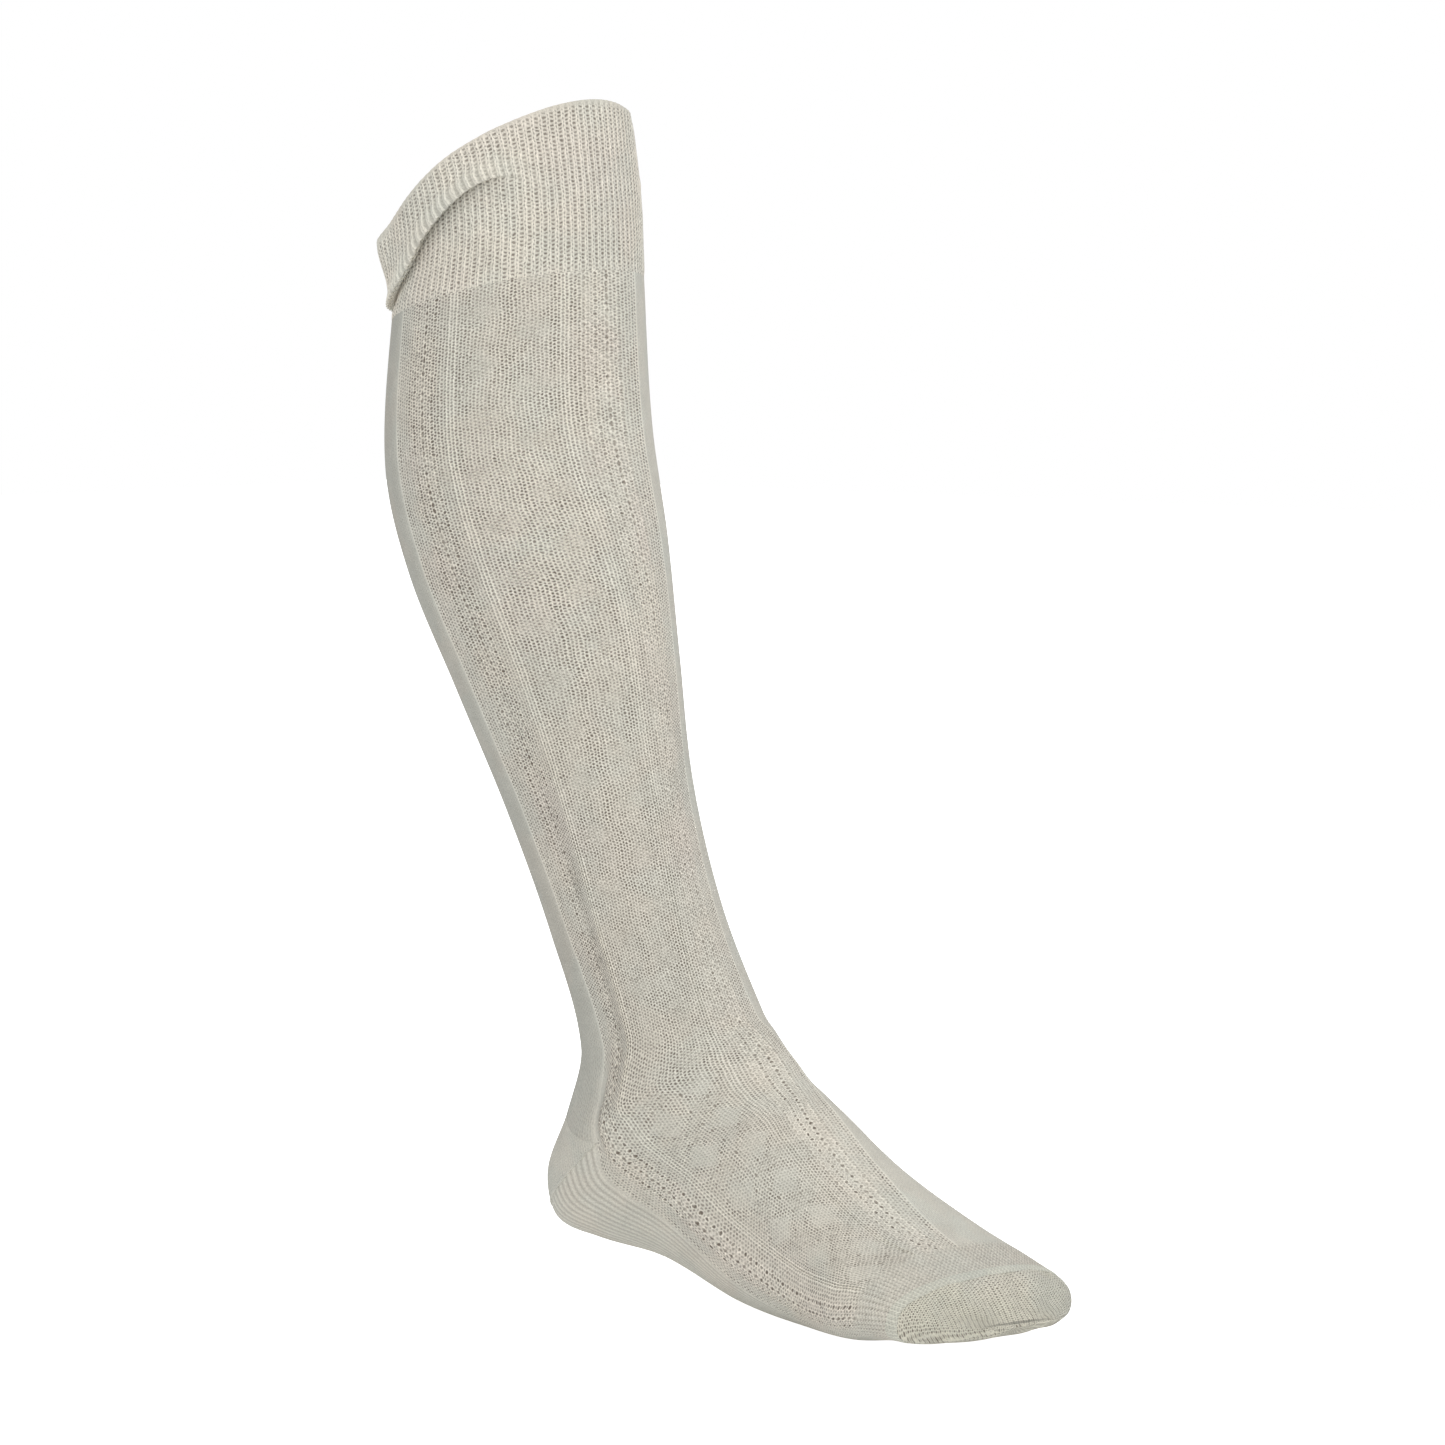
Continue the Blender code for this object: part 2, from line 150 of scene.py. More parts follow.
# How far the wales drift round the leg and foot as the cloth stretches over them. Each row is a
# place along the sock, then the drift of the wales named in DRIFT_WALES.
DRIFT_WALES = (-1.0, -0.85, -0.61, -0.515, -0.425, -0.125, -0.035, 0.06, 0.36, 1.0)
DRIFT = (
    (2.0, 0, 0, 0.00, 0.00, 0.00, -0.01, 0.00, 0.04, 0, 0),
    (3.2, 0, 0, 0.00, 0.00, 0.00, -0.01, 0.00, 0.04, 0, 0),
    (4.5, 0, 0, 0.01, 0.02, 0.02, 0.05, 0.05, 0.06, 0, 0),
    (5.5, 0, 0, 0.02, 0.04, 0.03, 0.05, 0.06, 0.05, 0, 0),
    (6.3, 0, 0, 0.03, 0.05, 0.02, 0.04, 0.04, 0.03, 0, 0),
    (7.8, 0, 0, 0.04, 0.02, -0.02, -0.023, -0.015, 0.00, 0, 0),
    (9.5, 0, 0, 0.05, -0.01, -0.04, -0.010, -0.010, 0.00, 0, 0),
    (10.3, 0, 0, 0.06, 0.00, 0.00, -0.005, -0.005, 0.00, 0, 0),
    (11.3, 0, 0, 0.03, 0.01, 0.01, -0.010, -0.010, 0.00, 0, 0),
    (12.3, 0, 0, 0.00, -0.01, -0.01, -0.018, -0.018, 0.00, 0, 0),
    (13.3, 0, 0, -0.04, -0.07, -0.05, -0.033, -0.030, 0.00, 0, 0),
    (14.1, 0, 0, -0.08, -0.10, -0.07, -0.052, -0.045, 0.01, 0, 0),
    (15.1, 0, 0, -0.10, -0.12, -0.07, -0.07, -0.06, 0.00, 0, 0),
    (15.9, 0, 0, -0.06, -0.07, -0.03, -0.07, -0.06, -0.02, 0, 0),
    (16.6, 0, 0, -0.02, -0.03, 0.00, -0.03, -0.03, -0.02, 0, 0),
    (17.5, 0, 0, 0.00, 0.00, 0.00, 0.00, 0.00, 0.00, 0, 0),
)

# The repeat of the pattern round the leg, in wales from the middle of a panel
PANEL_MIDDLE = 72.5
PANEL_REPEAT = 100.0
FIELD_HALF = 13.0
RIBS_TO = 16.0
LACE_FROM = 19.0
LACE_TO = 28.0
EDGE_WALE = 33.5
OWN_LENGTH = 0.15  # share of a wale's own length in where its courses lie
MOTIF_COURSES = 16.0  # one left and one right diamond
DIAMOND_OFF = 6.5  # wales from the middle of the field to the middle of a diamond
DIAMOND_WIDE = 6.0
DIAMOND_TALL = 0.34  # share of the motif's courses
LADDER_TALL = 0.30
KNOB_PITCH = 3.0  # wales and courses

STITCH_MASKS = ("Dots", "Rungs", "Pairs", "Eyelets", "Grooves")

# Rows and columns of points in each piece's outer grid, and rows in the inner one
CUFF_GRID = (96, 800)
LEG_GRID = (232, 400)
HEEL_GRID = (80, 161)
FOOT_GRID = (180, 400)
SEAM_GRID = (15, 400)
TOE_GRID = (110, 480)
CUFF_INNER_ROWS = 26
INNER_ROWS = 14
TOE_INNER_END = 104  # outer row behind which the inside of the toe cap ends

# Entries in the surface's tables, and the steps that its slopes are measured over
TABLE_PLACES = 401
TABLE_SHARES = 361
TABLE_ANGLES = 720
STEP_AT = 0.02
STEP_SHARE = 0.004

# Low forms in metres
CUFF_RIPPLE = 0.0003
HEEL_RIDGE = 0.00035
SEAM_BEAD = 0.00028

# The swellings of the toes: places along the sock where they begin, are full, fade and would end
TOES = 5
SWELL_BEGINS = 16.65
SWELL_FULL = 18.15
SWELL_FADES = 19.0
SWELL_ENDS = 20.2
TOES_ACROSS = 1.1  # share of the way round that holds the five toes
SEAM_STEP = 0.1  # step along the sock that measures the breadth of the seam

# The flat map for baking: share for the outer side, where the inner side starts, its share, margin
BAKE_OUTER = 0.75
BAKE_INNER_FROM = 0.80
BAKE_INNER = 0.18
BAKE_MARGIN = 0.01

# Seeds of the smooth noise
RIPPLE_SEED = 3
RUNG_SEED = 4
PANEL_SEED = 7
LEG_SEED = 11
FOOT_SEED = 12
BEAD_SEED = 21

# Noise in the wool, in waves to a metre
STITCH_NOISE = 420.0
PATCH_NOISE = 42.0
WARM_NOISE = 26.0
FLECK_NOISE = 1500.0
CLOUD_NOISE = 90.0

# The stage
CAMERA_SHIFT = (0.0238, -0.0057)
FLOOR_HALF = 6.0
LAMP_SIZE = 1.6
KEY_PLACE = (1.2, -2.2, 1.3)
TOP_PLACE = (1.1, -0.3, 1.9)


def length_prop(name, description, default):
    return bpy.props.FloatProperty(name=name, description=description, default=default, unit="LENGTH")


def number_prop(name, description, default):
    return bpy.props.FloatProperty(name=name, description=description, default=default)


def colour_prop(name, description, default):
    return bpy.props.FloatVectorProperty(
        name=name, description=description, default=default, subtype="COLOR"
    )


def place_prop(name, description, default):
    return bpy.props.FloatVectorProperty(
        name=name, description=description, default=default, subtype="XYZ"
    )


class SockForm(bpy.types.PropertyGroup):
    """Sizes of the sock in the form it has on a leg."""

    leg_height: length_prop("Leg height", "Sole to the front of the rim", 0.496)
    calf_depth: length_prop("Calf depth", "Front to back at the calf", 0.119)
    calf_width: length_prop("Calf width", "Side to side at the calf", 0.114)
    foot_length: length_prop("Foot length", "Back of the heel to the toes", 0.242)
    ankle_height: length_prop("Ankle height", "Sole to the bend of the ankle", 0.110)
    ball_width: length_prop("Ball width", "Side to side at the ball", 0.090)
    cloth_wall: length_prop("Cloth wall", "Thickness of the cloth", 0.0014)
    cuff_wall: length_prop("Cuff wall", "Thickness of the ribbed cuff", 0.0016)
    seam_wall: length_prop("Seam wall", "Thickness of the toe seam", 0.0020)
    seam_breadth: length_prop("Seam breadth", "Breadth of the toe seam", 0.0045)
    tuck_reach: length_prop("Tuck reach", "How far the turned cuff stands out", 0.0048)
    toe_swell: length_prop("Toe swell", "Hollow between toes to the top of one", 0.0010)


class SockKnit(bpy.types.PropertyGroup):
    """Counts and relief of the knitting."""

    wales: bpy.props.IntProperty(
        name="Wales", description="Columns of stitches round the sock", default=200, min=50
    )
    course_pitch: length_prop("Course pitch", "Height of one row of stitches", 0.0014)
    cuff_course_pitch: length_prop("Cuff course pitch", "Height of a row in the cuff", 0.0017)
    toe_wale: length_prop("Toe wale", "Breadth of a wale in the toe cap", 0.00103)
    rib_depth: length_prop("Rib depth", "Crest to valley of the cuff's ribs", 0.0004)
    panel_relief: length_prop("Panel relief", "Height of the fine ribs beside the lace", 0.00022)
    stitch_relief: length_prop("Stitch relief", "Depth of the bump between stitches", 0.0006)


class SockColours(bpy.types.PropertyGroup):
    """Colours of the undyed wool, linear."""

    wool: colour_prop("Wool", "Ecru yarn", (0.705, 0.660, 0.570))
    cool: colour_prop("Cool wool", "Greyer patches of dense cloth", (0.640, 0.650, 0.580))
    warm: colour_prop("Warm wool", "Pinker patches of open cloth", (0.705, 0.640, 0.565))
    hollow: colour_prop("Hollow", "Shade seen in the holes", (0.155, 0.125, 0.095))
    seam: colour_prop("Seam", "Smooth band of the toe seam", (0.720, 0.705, 0.600))
    toe: colour_prop("Toe", "Creamier yarn of the toe cap", (0.715, 0.685, 0.565))


class SockStage(bpy.types.PropertyGroup):
    """Camera, floor and lights."""

    eye: place_prop("Camera", "Where the camera stands", (1.0830, -1.1321, -0.0648))
    look_at: place_prop("Look at", "What the camera is aimed at", (0.0989, 0.0, -0.2248))
    lens: number_prop("Lens", "Focal length in mm", 89.83)
    floor_drop: length_prop("Floor drop", "Lowest point to the floor", 0.0015)
    floor_glow: number_prop("Floor glow", "Lifts the floor to white", 1.0)
    floor_light: number_prop("Floor light", "Light from below", 0.15)
    sky: number_prop("Sky", "Light from all round", 0.61)
    key: number_prop("Key", "Power of the large lamp in watts", 8.5)
    top: number_prop("Top", "Power of the lamp above in watts", 27.0)


# The form of the cloth


def smooth_step(value, low, high):
    share = np.clip((value - low) / (high - low), 0.0, 1.0)
    return share * share * (3 - 2 * share)


def between_cells(table, row, column, u, v):
    """Values between the cell at this row and column and its neighbours."""
    upper = table[row, column] * (1 - v) + table[row, column + 1] * v
    lower = table[row + 1, column] * (1 - v) + table[row + 1, column + 1] * v
    return upper * (1 - u) + lower * u


def smooth_through(rows, at):
    """Values of a smooth curve through rows whose first column is the place, with mean slopes."""
    rows = np.asarray(rows, float)
    places = rows[:, 0]
    values = rows[:, 1:]
    slopes = np.empty_like(values)
    slopes[1:-1] = (values[2:] - values[:-2]) / (places[2:] - places[:-2])[:, None]
    slopes[0] = (values[1] - values[0]) / (places[1] - places[0])
    slopes[-1] = (values[-1] - values[-2]) / (places[-1] - places[-2])
    at = np.clip(np.asarray(at, float), places[0], places[-1])
    low = np.clip(np.searchsorted(places, at, side="right") - 1, 0, len(places) - 2)
    span = (places[low + 1] - places[low])[..., None]
    u = (at - places[low])[..., None] / span
    start = (2 * u**3 - 3 * u**2 + 1) * values[low]
    leave = (u**3 - 2 * u**2 + u) * span * slopes[low]
    end = (3 * u**2 - 2 * u**3) * values[low + 1]
    arrive = (u**3 - u**2) * span * slopes[low + 1]
    return start + leave + end + arrive


class Cloth:
    """The worn sock's surface: points at places along it and shares of the way round it."""

    def __init__(self, form):
        leg_sizes = (form.calf_depth, form.leg_height) * 2 + (form.calf_width / 2, 1, 1, 1)
        foot_sizes = (form.foot_length, form.ankle_height) * 2 + (form.ball_width / 2, 1, 1, 1)
        leg = np.array(LEG_SECTIONS) * np.array(leg_sizes)
        foot = np.array(FOOT_SECTIONS) * np.array(foot_sizes)
        rows = np.vstack([leg, foot])
        self.mouth = np.array([(rows[0, 0] + rows[0, 2]) / 2, 0.0, (rows[0, 1] + rows[0, 3]) / 2])
        front_steps = np.hypot(np.diff(rows[:, 0]), np.diff(rows[:, 1]))
        back_steps = np.hypot(np.diff(rows[:, 2]), np.diff(rows[:, 3]))
        self.along = np.concatenate([[0.0], np.cumsum((front_steps + back_steps) / 2)])
        self.rows = np.column_stack([self.along, rows])
        self.places = np.linspace(0, TIP_AT, TABLE_PLACES)
        self.shares = np.linspace(-1, 1, TABLE_SHARES)
        self.angles = self.angle_table()
        self.lengths = self.length_table()

    def sections(self, at):
        return smooth_through(self.rows, np.interp(at, np.arange(len(self.along)), self.along))

    def outline(self, angles, sections):
        forward = np.cos(angles)
        across = np.sin(angles)
        power = np.where(forward > 0, 2 / sections[..., 5], 2 / sections[..., 6])
        return np.sign(forward) * np.abs(forward) ** power, np.sign(across) * np.abs(across) ** power

    def section_points(self, forward, across, sections, inset=0.0):
        run = sections[..., 0] - sections[..., 2]
        rise = sections[..., 1] - sections[..., 3]
        depth = np.hypot(run, rise)
        y = (sections[..., 4] - inset) * across
        x = (sections[..., 0] + sections[..., 2]) / 2 + (run / 2 - inset * run / depth) * forward
        z = (sections[..., 1] + sections[..., 3]) / 2 + (rise / 2 - inset * rise / depth) * forward
        return np.stack([x + sections[..., 7] * y, y, z], axis=-1) - self.mouth

    def angle_table(self):
        """The angle of each share of the way round, at each place of the table."""
        angles = np.linspace(-math.pi, math.pi, TABLE_ANGLES + 1)
        table = []
        for place in self.places:
            sections = np.repeat(self.sections(np.array([place])), len(angles), axis=0)
            points = self.section_points(*self.outline(angles, sections), sections)
            steps = np.linalg.norm(np.diff(points, axis=0), axis=1)
            length = np.concatenate([[0.0], np.cumsum(steps)])
            share = 2 * (length - length[TABLE_ANGLES // 2]) / length[-1]
            table.append(np.interp(self.shares, share, angles))
        return np.array(table)

    def between(self, table, at, shares):
        """Values of a table between its places and shares."""
        row = np.clip(np.asarray(at) / TIP_AT, 0, 1) * (TABLE_PLACES - 1)
        column = ((np.asarray(shares) + 1) % 2) / 2 * (TABLE_SHARES - 1)
        low_row = np.minimum(row.astype(int), TABLE_PLACES - 2)
        low_column = np.minimum(column.astype(int), TABLE_SHARES - 2)
        return between_cells(table, low_row, low_column, row - low_row, column - low_column)

    def points(self, at, shares, inset=0.0):
        at, shares = np.broadcast_arrays(np.clip(at, 0, TIP_AT), shares)
        sections = self.sections(at)
        forward, across = self.outline(self.between(self.angles, at, shares), sections)
        return self.section_points(forward, across, sections, inset)

    def outward(self, at, shares):
        """Unit normals of the surface."""
        down = self.points(at + STEP_AT, shares) - self.points(at - STEP_AT, shares)
        round_way = self.points(at, shares + STEP_SHARE) - self.points(at, shares - STEP_SHARE)
        normals = np.cross(down, round_way)
        return normals / np.maximum(np.linalg.norm(normals, axis=-1, keepdims=True), 1e-12)

    def raised(self, at, shares, relief):
        return self.points(at, shares) + self.outward(at, shares) * relief[..., None]

    def length_table(self):
        """How far each place lies below the cuff, along the wale at each share."""
        grid = self.points(self.places[:, None], self.shares[None, :])
        steps = np.linalg.norm(np.diff(grid, axis=0), axis=2)
        length = np.vstack([np.zeros((1, TABLE_SHARES)), np.cumsum(steps, axis=0)])
        return length - length[int(CUFF_AT / TIP_AT * (TABLE_PLACES - 1))]

    def length_down(self, at, shares):
        """Length of cloth from the cuff: mostly that of a panel's middle, so the courses fan out."""
        at, shares = np.broadcast_arrays(at, shares)
        middle = self.between(self.lengths, at, np.full_like(at, PANEL_MIDDLE / PANEL_REPEAT - 1))
        return (1 - OWN_LENGTH) * middle + OWN_LENGTH * self.between(self.lengths, at, shares)


def drifted(at, shares):
    """Where the wale that starts at this share lies, further along the sock."""
    at, shares = np.broadcast_arrays(at, shares)
    drift = smooth_through(DRIFT, at)
    index = np.clip(np.searchsorted(DRIFT_WALES, shares, side="right") - 1, 0, len(DRIFT_WALES) - 2)
    wales = np.array(DRIFT_WALES)
    u = (shares - wales[index]) / (wales[index + 1] - wales[index])
    u = (smooth_step(u, 0, 1) + u) / 2
    low = np.take_along_axis(drift, index[..., None], axis=-1)[..., 0]
    high = np.take_along_axis(drift, index[..., None] + 1, axis=-1)[..., 0]
    return shares + low * (1 - u) + high * u


def edge_along(shares, edge):
    """Where each drifting wale meets an edge, which is a place for each share."""
    at = edge(shares)
    for _ in range(8):
        at = (at + edge(drifted(at, shares))) / 2
    return at


def heel_edge(shares, back_at):
    """An edge of the heel pocket: level in front of its corners, curving to back_at behind."""
    side = np.abs((shares + 1) % 2 - 1)
    beyond = np.clip((side - HEEL_CORNER) / (1 - HEEL_CORNER), 0.0, 1.0)
    return HEEL_CORNER_AT + (back_at - HEEL_CORNER_AT) * np.sin(beyond * math.pi / 2)


# The pattern of the knitting


def repeatable_noise(seed, shape, steps):
    """Smooth noise from -1 to 1 over a grid, with this many steps each way, the same every time."""
    coarse = np.random.default_rng(seed).uniform(-1, 1, (steps[0] + 2, steps[1]))
    coarse = np.concatenate([coarse, coarse[:, :2]], axis=1)
    row = np.linspace(0, steps[0], shape[0], endpoint=False)[:, None]
    column = np.linspace(0, steps[1], shape[1], endpoint=False)[None, :]
    low_row = row.astype(int)
    low_column = column.astype(int)
    u = smooth_step(row - low_row, 0, 1)
    v = smooth_step(column - low_column, 0, 1)
    return between_cells(coarse, low_row, low_column, u, v)


def band(value, low, high, soft=0.5):
    """1 between low and high, 0 beyond them."""
    return smooth_step(value, low - soft, low + soft) * (1 - smooth_step(value, high - soft, high + soft))


def from_panel(wale):
    """Wales from the middle of the nearest patterned panel."""
    return (wale - PANEL_MIDDLE + PANEL_REPEAT / 2) % PANEL_REPEAT - PANEL_REPEAT / 2


def side_of(wale):
    """Share of the way round from the shin, to either side."""
    return np.abs(wale / PANEL_REPEAT - 1)


def plain_strip(wale):
    return smooth_step(np.abs(from_panel(wale)), EDGE_WALE, EDGE_WALE + 1)


def peak(value, middle, breadth):
    return np.exp(-(((value - middle) / breadth) ** 2))


def wrapped(value):
    return np.abs((value + 0.5) % 1.0 - 0.5)


def ridges(wale, wide=2.0):
    """From 0 in the valleys to 1 on the crests of ribs this many wales wide."""
    return 0.5 + 0.5 * np.cos(2 * math.pi * wale / wide)


def panel_masks(wale, course, strength):
    """Masks of the openwork: holes, grooves, painted highlights, relief, openness and sideways shift.

    strength is how plainly the smooth diamonds of the middle field show.
    """
    side = from_panel(wale)
    away = np.abs(side)
    rear = side < 0
    turn = course / MOTIF_COURSES
    left_off = np.abs(side + DIAMOND_OFF) / DIAMOND_WIDE
    right_off = np.abs(side - DIAMOND_OFF) / DIAMOND_WIDE
    in_turn = wrapped(turn)
    off_turn = wrapped(turn - 0.5)
    nearest = np.minimum(left_off + in_turn / DIAMOND_TALL, right_off + off_turn / DIAMOND_TALL)
    between = np.minimum(left_off + off_turn / LADDER_TALL, right_off + in_turn / LADDER_TALL)
    field = band(away, -5, FIELD_HALF, 0.4)
    rough = repeatable_noise(PANEL_SEED, wale.shape, (70, 60))
    diamond = (1 - smooth_step(nearest, 0.75, 1.1)) * field
    ladder = (1 - smooth_step(between, 0.75, 1.1)) * field * (1 - diamond)
    edging = peak(nearest, 1.25, 0.22) * field * smooth_step(strength, 0.2, 0.6)
    ribbed = smooth_step(strength, 0.35, 0.65)
    block = field * (1 - diamond) * (1 - ladder)
    ribs = band(away, FIELD_HALF, RIBS_TO, 0.2)
    gap = band(away, RIBS_TO, LACE_FROM)
    lace = band(away, LACE_FROM, LACE_TO, 0.6)
    beyond = band(away, LACE_TO, EDGE_WALE - 0.5)
    edge = peak(away, EDGE_WALE, 0.55)
    inside_edge = peak(away, EDGE_WALE - 1, 0.6)
    on_wale = ridges(wale, 1.0)
    dots = (1.05 - 0.45 * ribbed) * block + diamond * (1 - strength) + 0.5 * edging
    dots = (dots + 0.8 * ribs + 0.9 * gap) * (1 - 0.25 * ribbed) + 0.9 * inside_edge + 0.7 * ladder
    dots = dots + ((0.75 + 0.35 * rear) * lace + 0.8 * beyond) * (1 - 0.55 * ribbed)
    grooves = 0.12 * ribs + 0.5 * ribbed * block
    # Painted highlights on the crests of the fine ribs, the edge wale and the ribbed blocks
    lines = ribs * on_wale * (0.7 + 0.3 * rear) + edge + 0.6 * ribbed * block * on_wale
    relief = 0.9 * ribs * (2 * on_wale - 0.8) + 1.1 * edge - 0.3 * lace - 0.1 * gap
    relief = relief + 0.2 * diamond * strength - 0.2 * edging
    openness = 0.75 * field * (1 - 0.8 * diamond * strength) + 0.8 * gap + lace + 0.6 * ribs + 0.5 * beyond
    # Knobs of the lace: raised here, and painted lighter and darker by the same wave in the leg's and
    # foot's shade masks
    knob_turn = 2 * math.pi / KNOB_PITCH
    knobs = lace * np.cos(knob_turn * course) * np.cos(knob_turn * (away - LACE_FROM))
    relief = relief + 1.2 * knobs
    shift = 0.25 * np.sin(2 * math.pi * turn) * np.clip(1 - (side / FIELD_HALF) ** 2, 0, 1)
    return {
        "dots": np.clip(dots, 0, 1),
        "rungs": (0.6 * ladder + 0.45 * ribbed * block) * (0.6 + 0.4 * rough),
        "pairs": 0.45 * ladder * (0.6 + 0.4 * rough) + 0.35 * lace,
        "eyelets": np.clip((0.9 + 0.4 * rough) * (1 + 0.4 * rear) * lace + 0.9 * edging, 0, 1.3),
        "grooves": grooves,
        "lines": np.clip(lines, 0, 1),
        "relief": relief,
        "open": np.clip(openness, 0, 1),
        "shift": shift,
        "knobs": knobs,
    }


# Meshes


def rows_down(count):
    return np.linspace(0, 1, count)[:, None]


def picked_rows(last, count):
    return np.linspace(0, last, count).round().astype(int)


def stitch_places(wale, course):
    return np.stack(np.broadcast_arrays(wale, course), axis=-1)


def grid_faces(rows, columns, turn, first, flip):
    """Quads between the points of a grid whose first point has this number."""
    row, column = np.meshgrid(np.arange(rows - 1), np.arange(turn), indexing="ij")
    beside = (column + 1) % columns
    corners = [row * columns + column, (row + 1) * columns + column]
    corners += [(row + 1) * columns + beside, row * columns + beside]
    return first + np.stack(corners[::-1] if flip else corners, axis=-1).reshape(-1, 4)


def sheet_mesh(name, outer, inner, knit, masks, closed=True, tips=None):
    """A mesh of the cloth: a fine outer grid, a coarser inner grid, joined round their free edges.

    knit is the wale and course of each outer point, and masks are named values for each.
    """
    rows, columns = outer.shape[:2]
    inner_rows = inner.shape[0]
    turn = columns if closed else columns - 1
    first = rows * columns
    around = np.arange(turn)
    beside = (around + 1) % columns
    rim = np.stack([around, beside, first + beside, first + around], axis=-1)
    faces = [grid_faces(rows, columns, turn, 0, False)]
    faces += [grid_faces(inner_rows, columns, turn, first, True), rim]
    last = (rows - 1) * columns
    inner_last = first + (inner_rows - 1) * columns
    if tips is None:
        corners = [last + around, inner_last + around, inner_last + beside, last + beside]
        faces.append(np.stack(corners, axis=-1))
    if not closed:
        down = np.arange(rows - 1) * columns
        for side in (0, columns - 1):
            upper = down + side
            corners = [upper, first + upper, first + upper + columns, upper + columns]
            faces.append(np.stack(corners if side == 0 else corners[::-1], axis=-1))
    every_face = np.concatenate(faces).tolist()
    every_point = np.concatenate([outer.reshape(-1, 3), inner.reshape(-1, 3)]).tolist()
    if tips is not None:
        every_point.extend([list(tip) for tip in tips])
        end = len(every_point) - 2
        for a, b in zip(around.tolist(), beside.tolist()):
            every_face.append([last + a, end, last + b])
            every_face.append([inner_last + b, end + 1, inner_last + a])
    mesh = bpy.data.meshes.new(name)
    mesh.from_pydata(every_point, [], every_face)
    mesh.shade_smooth()
    mesh.set_sharp_from_angle(angle=math.radians(60))
    write_knit(mesh, rows, inner_rows, columns, knit, masks)
    return mesh


def write_knit(mesh, rows, inner_rows, columns, knit, masks):
    """Writes the wale and course map, the flat map for baking and the masks."""
    spare = len(mesh.vertices) - (rows + inner_rows) * columns
    inner_pick = picked_rows(rows - 1, inner_rows)
    whole = np.concatenate([knit.reshape(-1, 2), knit[inner_pick].reshape(-1, 2)])
    whole = np.concatenate([whole, np.repeat(whole[-1:], spare, axis=0)])
    corners = np.empty(len(mesh.loops), int)
    mesh.loops.foreach_get("vertex_index", corners)
    totals = np.empty(len(mesh.polygons), int)
    mesh.polygons.foreach_get("loop_total", totals)
    face_of = np.repeat(np.arange(len(totals)), totals)
    stitch = whole[corners]
    column_of = corners % columns
    at_last = np.zeros(len(totals), bool)
    np.logical_or.at(at_last, face_of, column_of == columns - 1)
    wraps = at_last[face_of] & (column_of == 0)
    wale_span = knit[0, -1, 0] - knit[0, 0, 0]
    stitch[wraps, 0] += wale_span * columns / (columns - 1)
    knit_map = mesh.uv_layers.new(name="Knit")
    knit_map.data.foreach_set("uv", stitch.astype(np.float32).ravel())
    row_of = corners // columns
    across = np.where(wraps, columns, column_of) / columns
    inner_along = BAKE_INNER_FROM + BAKE_INNER * (row_of - rows) / inner_rows
    along = np.where(row_of < rows, BAKE_OUTER * row_of / (rows - 1), inner_along)
    flat = np.stack([across, np.minimum(along, 1)], axis=-1) * (1 - 2 * BAKE_MARGIN) + BAKE_MARGIN
    bake_map = mesh.uv_layers.new(name="OFBake")
    bake_map.data.foreach_set("uv", flat.astype(np.float32).ravel())
    for name, values in masks.items():
        both = np.concatenate([values.ravel(), values[inner_pick].ravel()])
        both = np.concatenate([both, np.full(spare, both[-1])])
        mask = mesh.attributes.new(name, "FLOAT", "POINT")
        mask.data.foreach_set("value", both.astype(np.float32))


def put(name, data, place, look_at=None):
    """Puts an object in the scene, turned to a point if one is given."""
    thing = bpy.data.objects.new(name, data)
    thing.location = place
    if look_at is not None:
        thing.rotation_euler = (look_at - Vector(place)).to_track_quat("-Z", "Y").to_euler()
    bpy.context.scene.collection.objects.link(thing)
    return thing


def place_piece(mesh, node, slot, yarn=None):
    piece = put(node + "_knit", mesh, (0.0, 0.0, 0.0))
    mesh.materials.append(wool_material(slot, yarn))
    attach(piece, "root")
    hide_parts(node)


def wales_round(count):
    """Shares of the way round for this many columns of points, and their wales."""
    knit = bpy.context.scene.sock_knit
    shares = np.arange(count) * 2 / count - 1
    return shares, (shares + 1) / 2 * knit.wales


# Materials


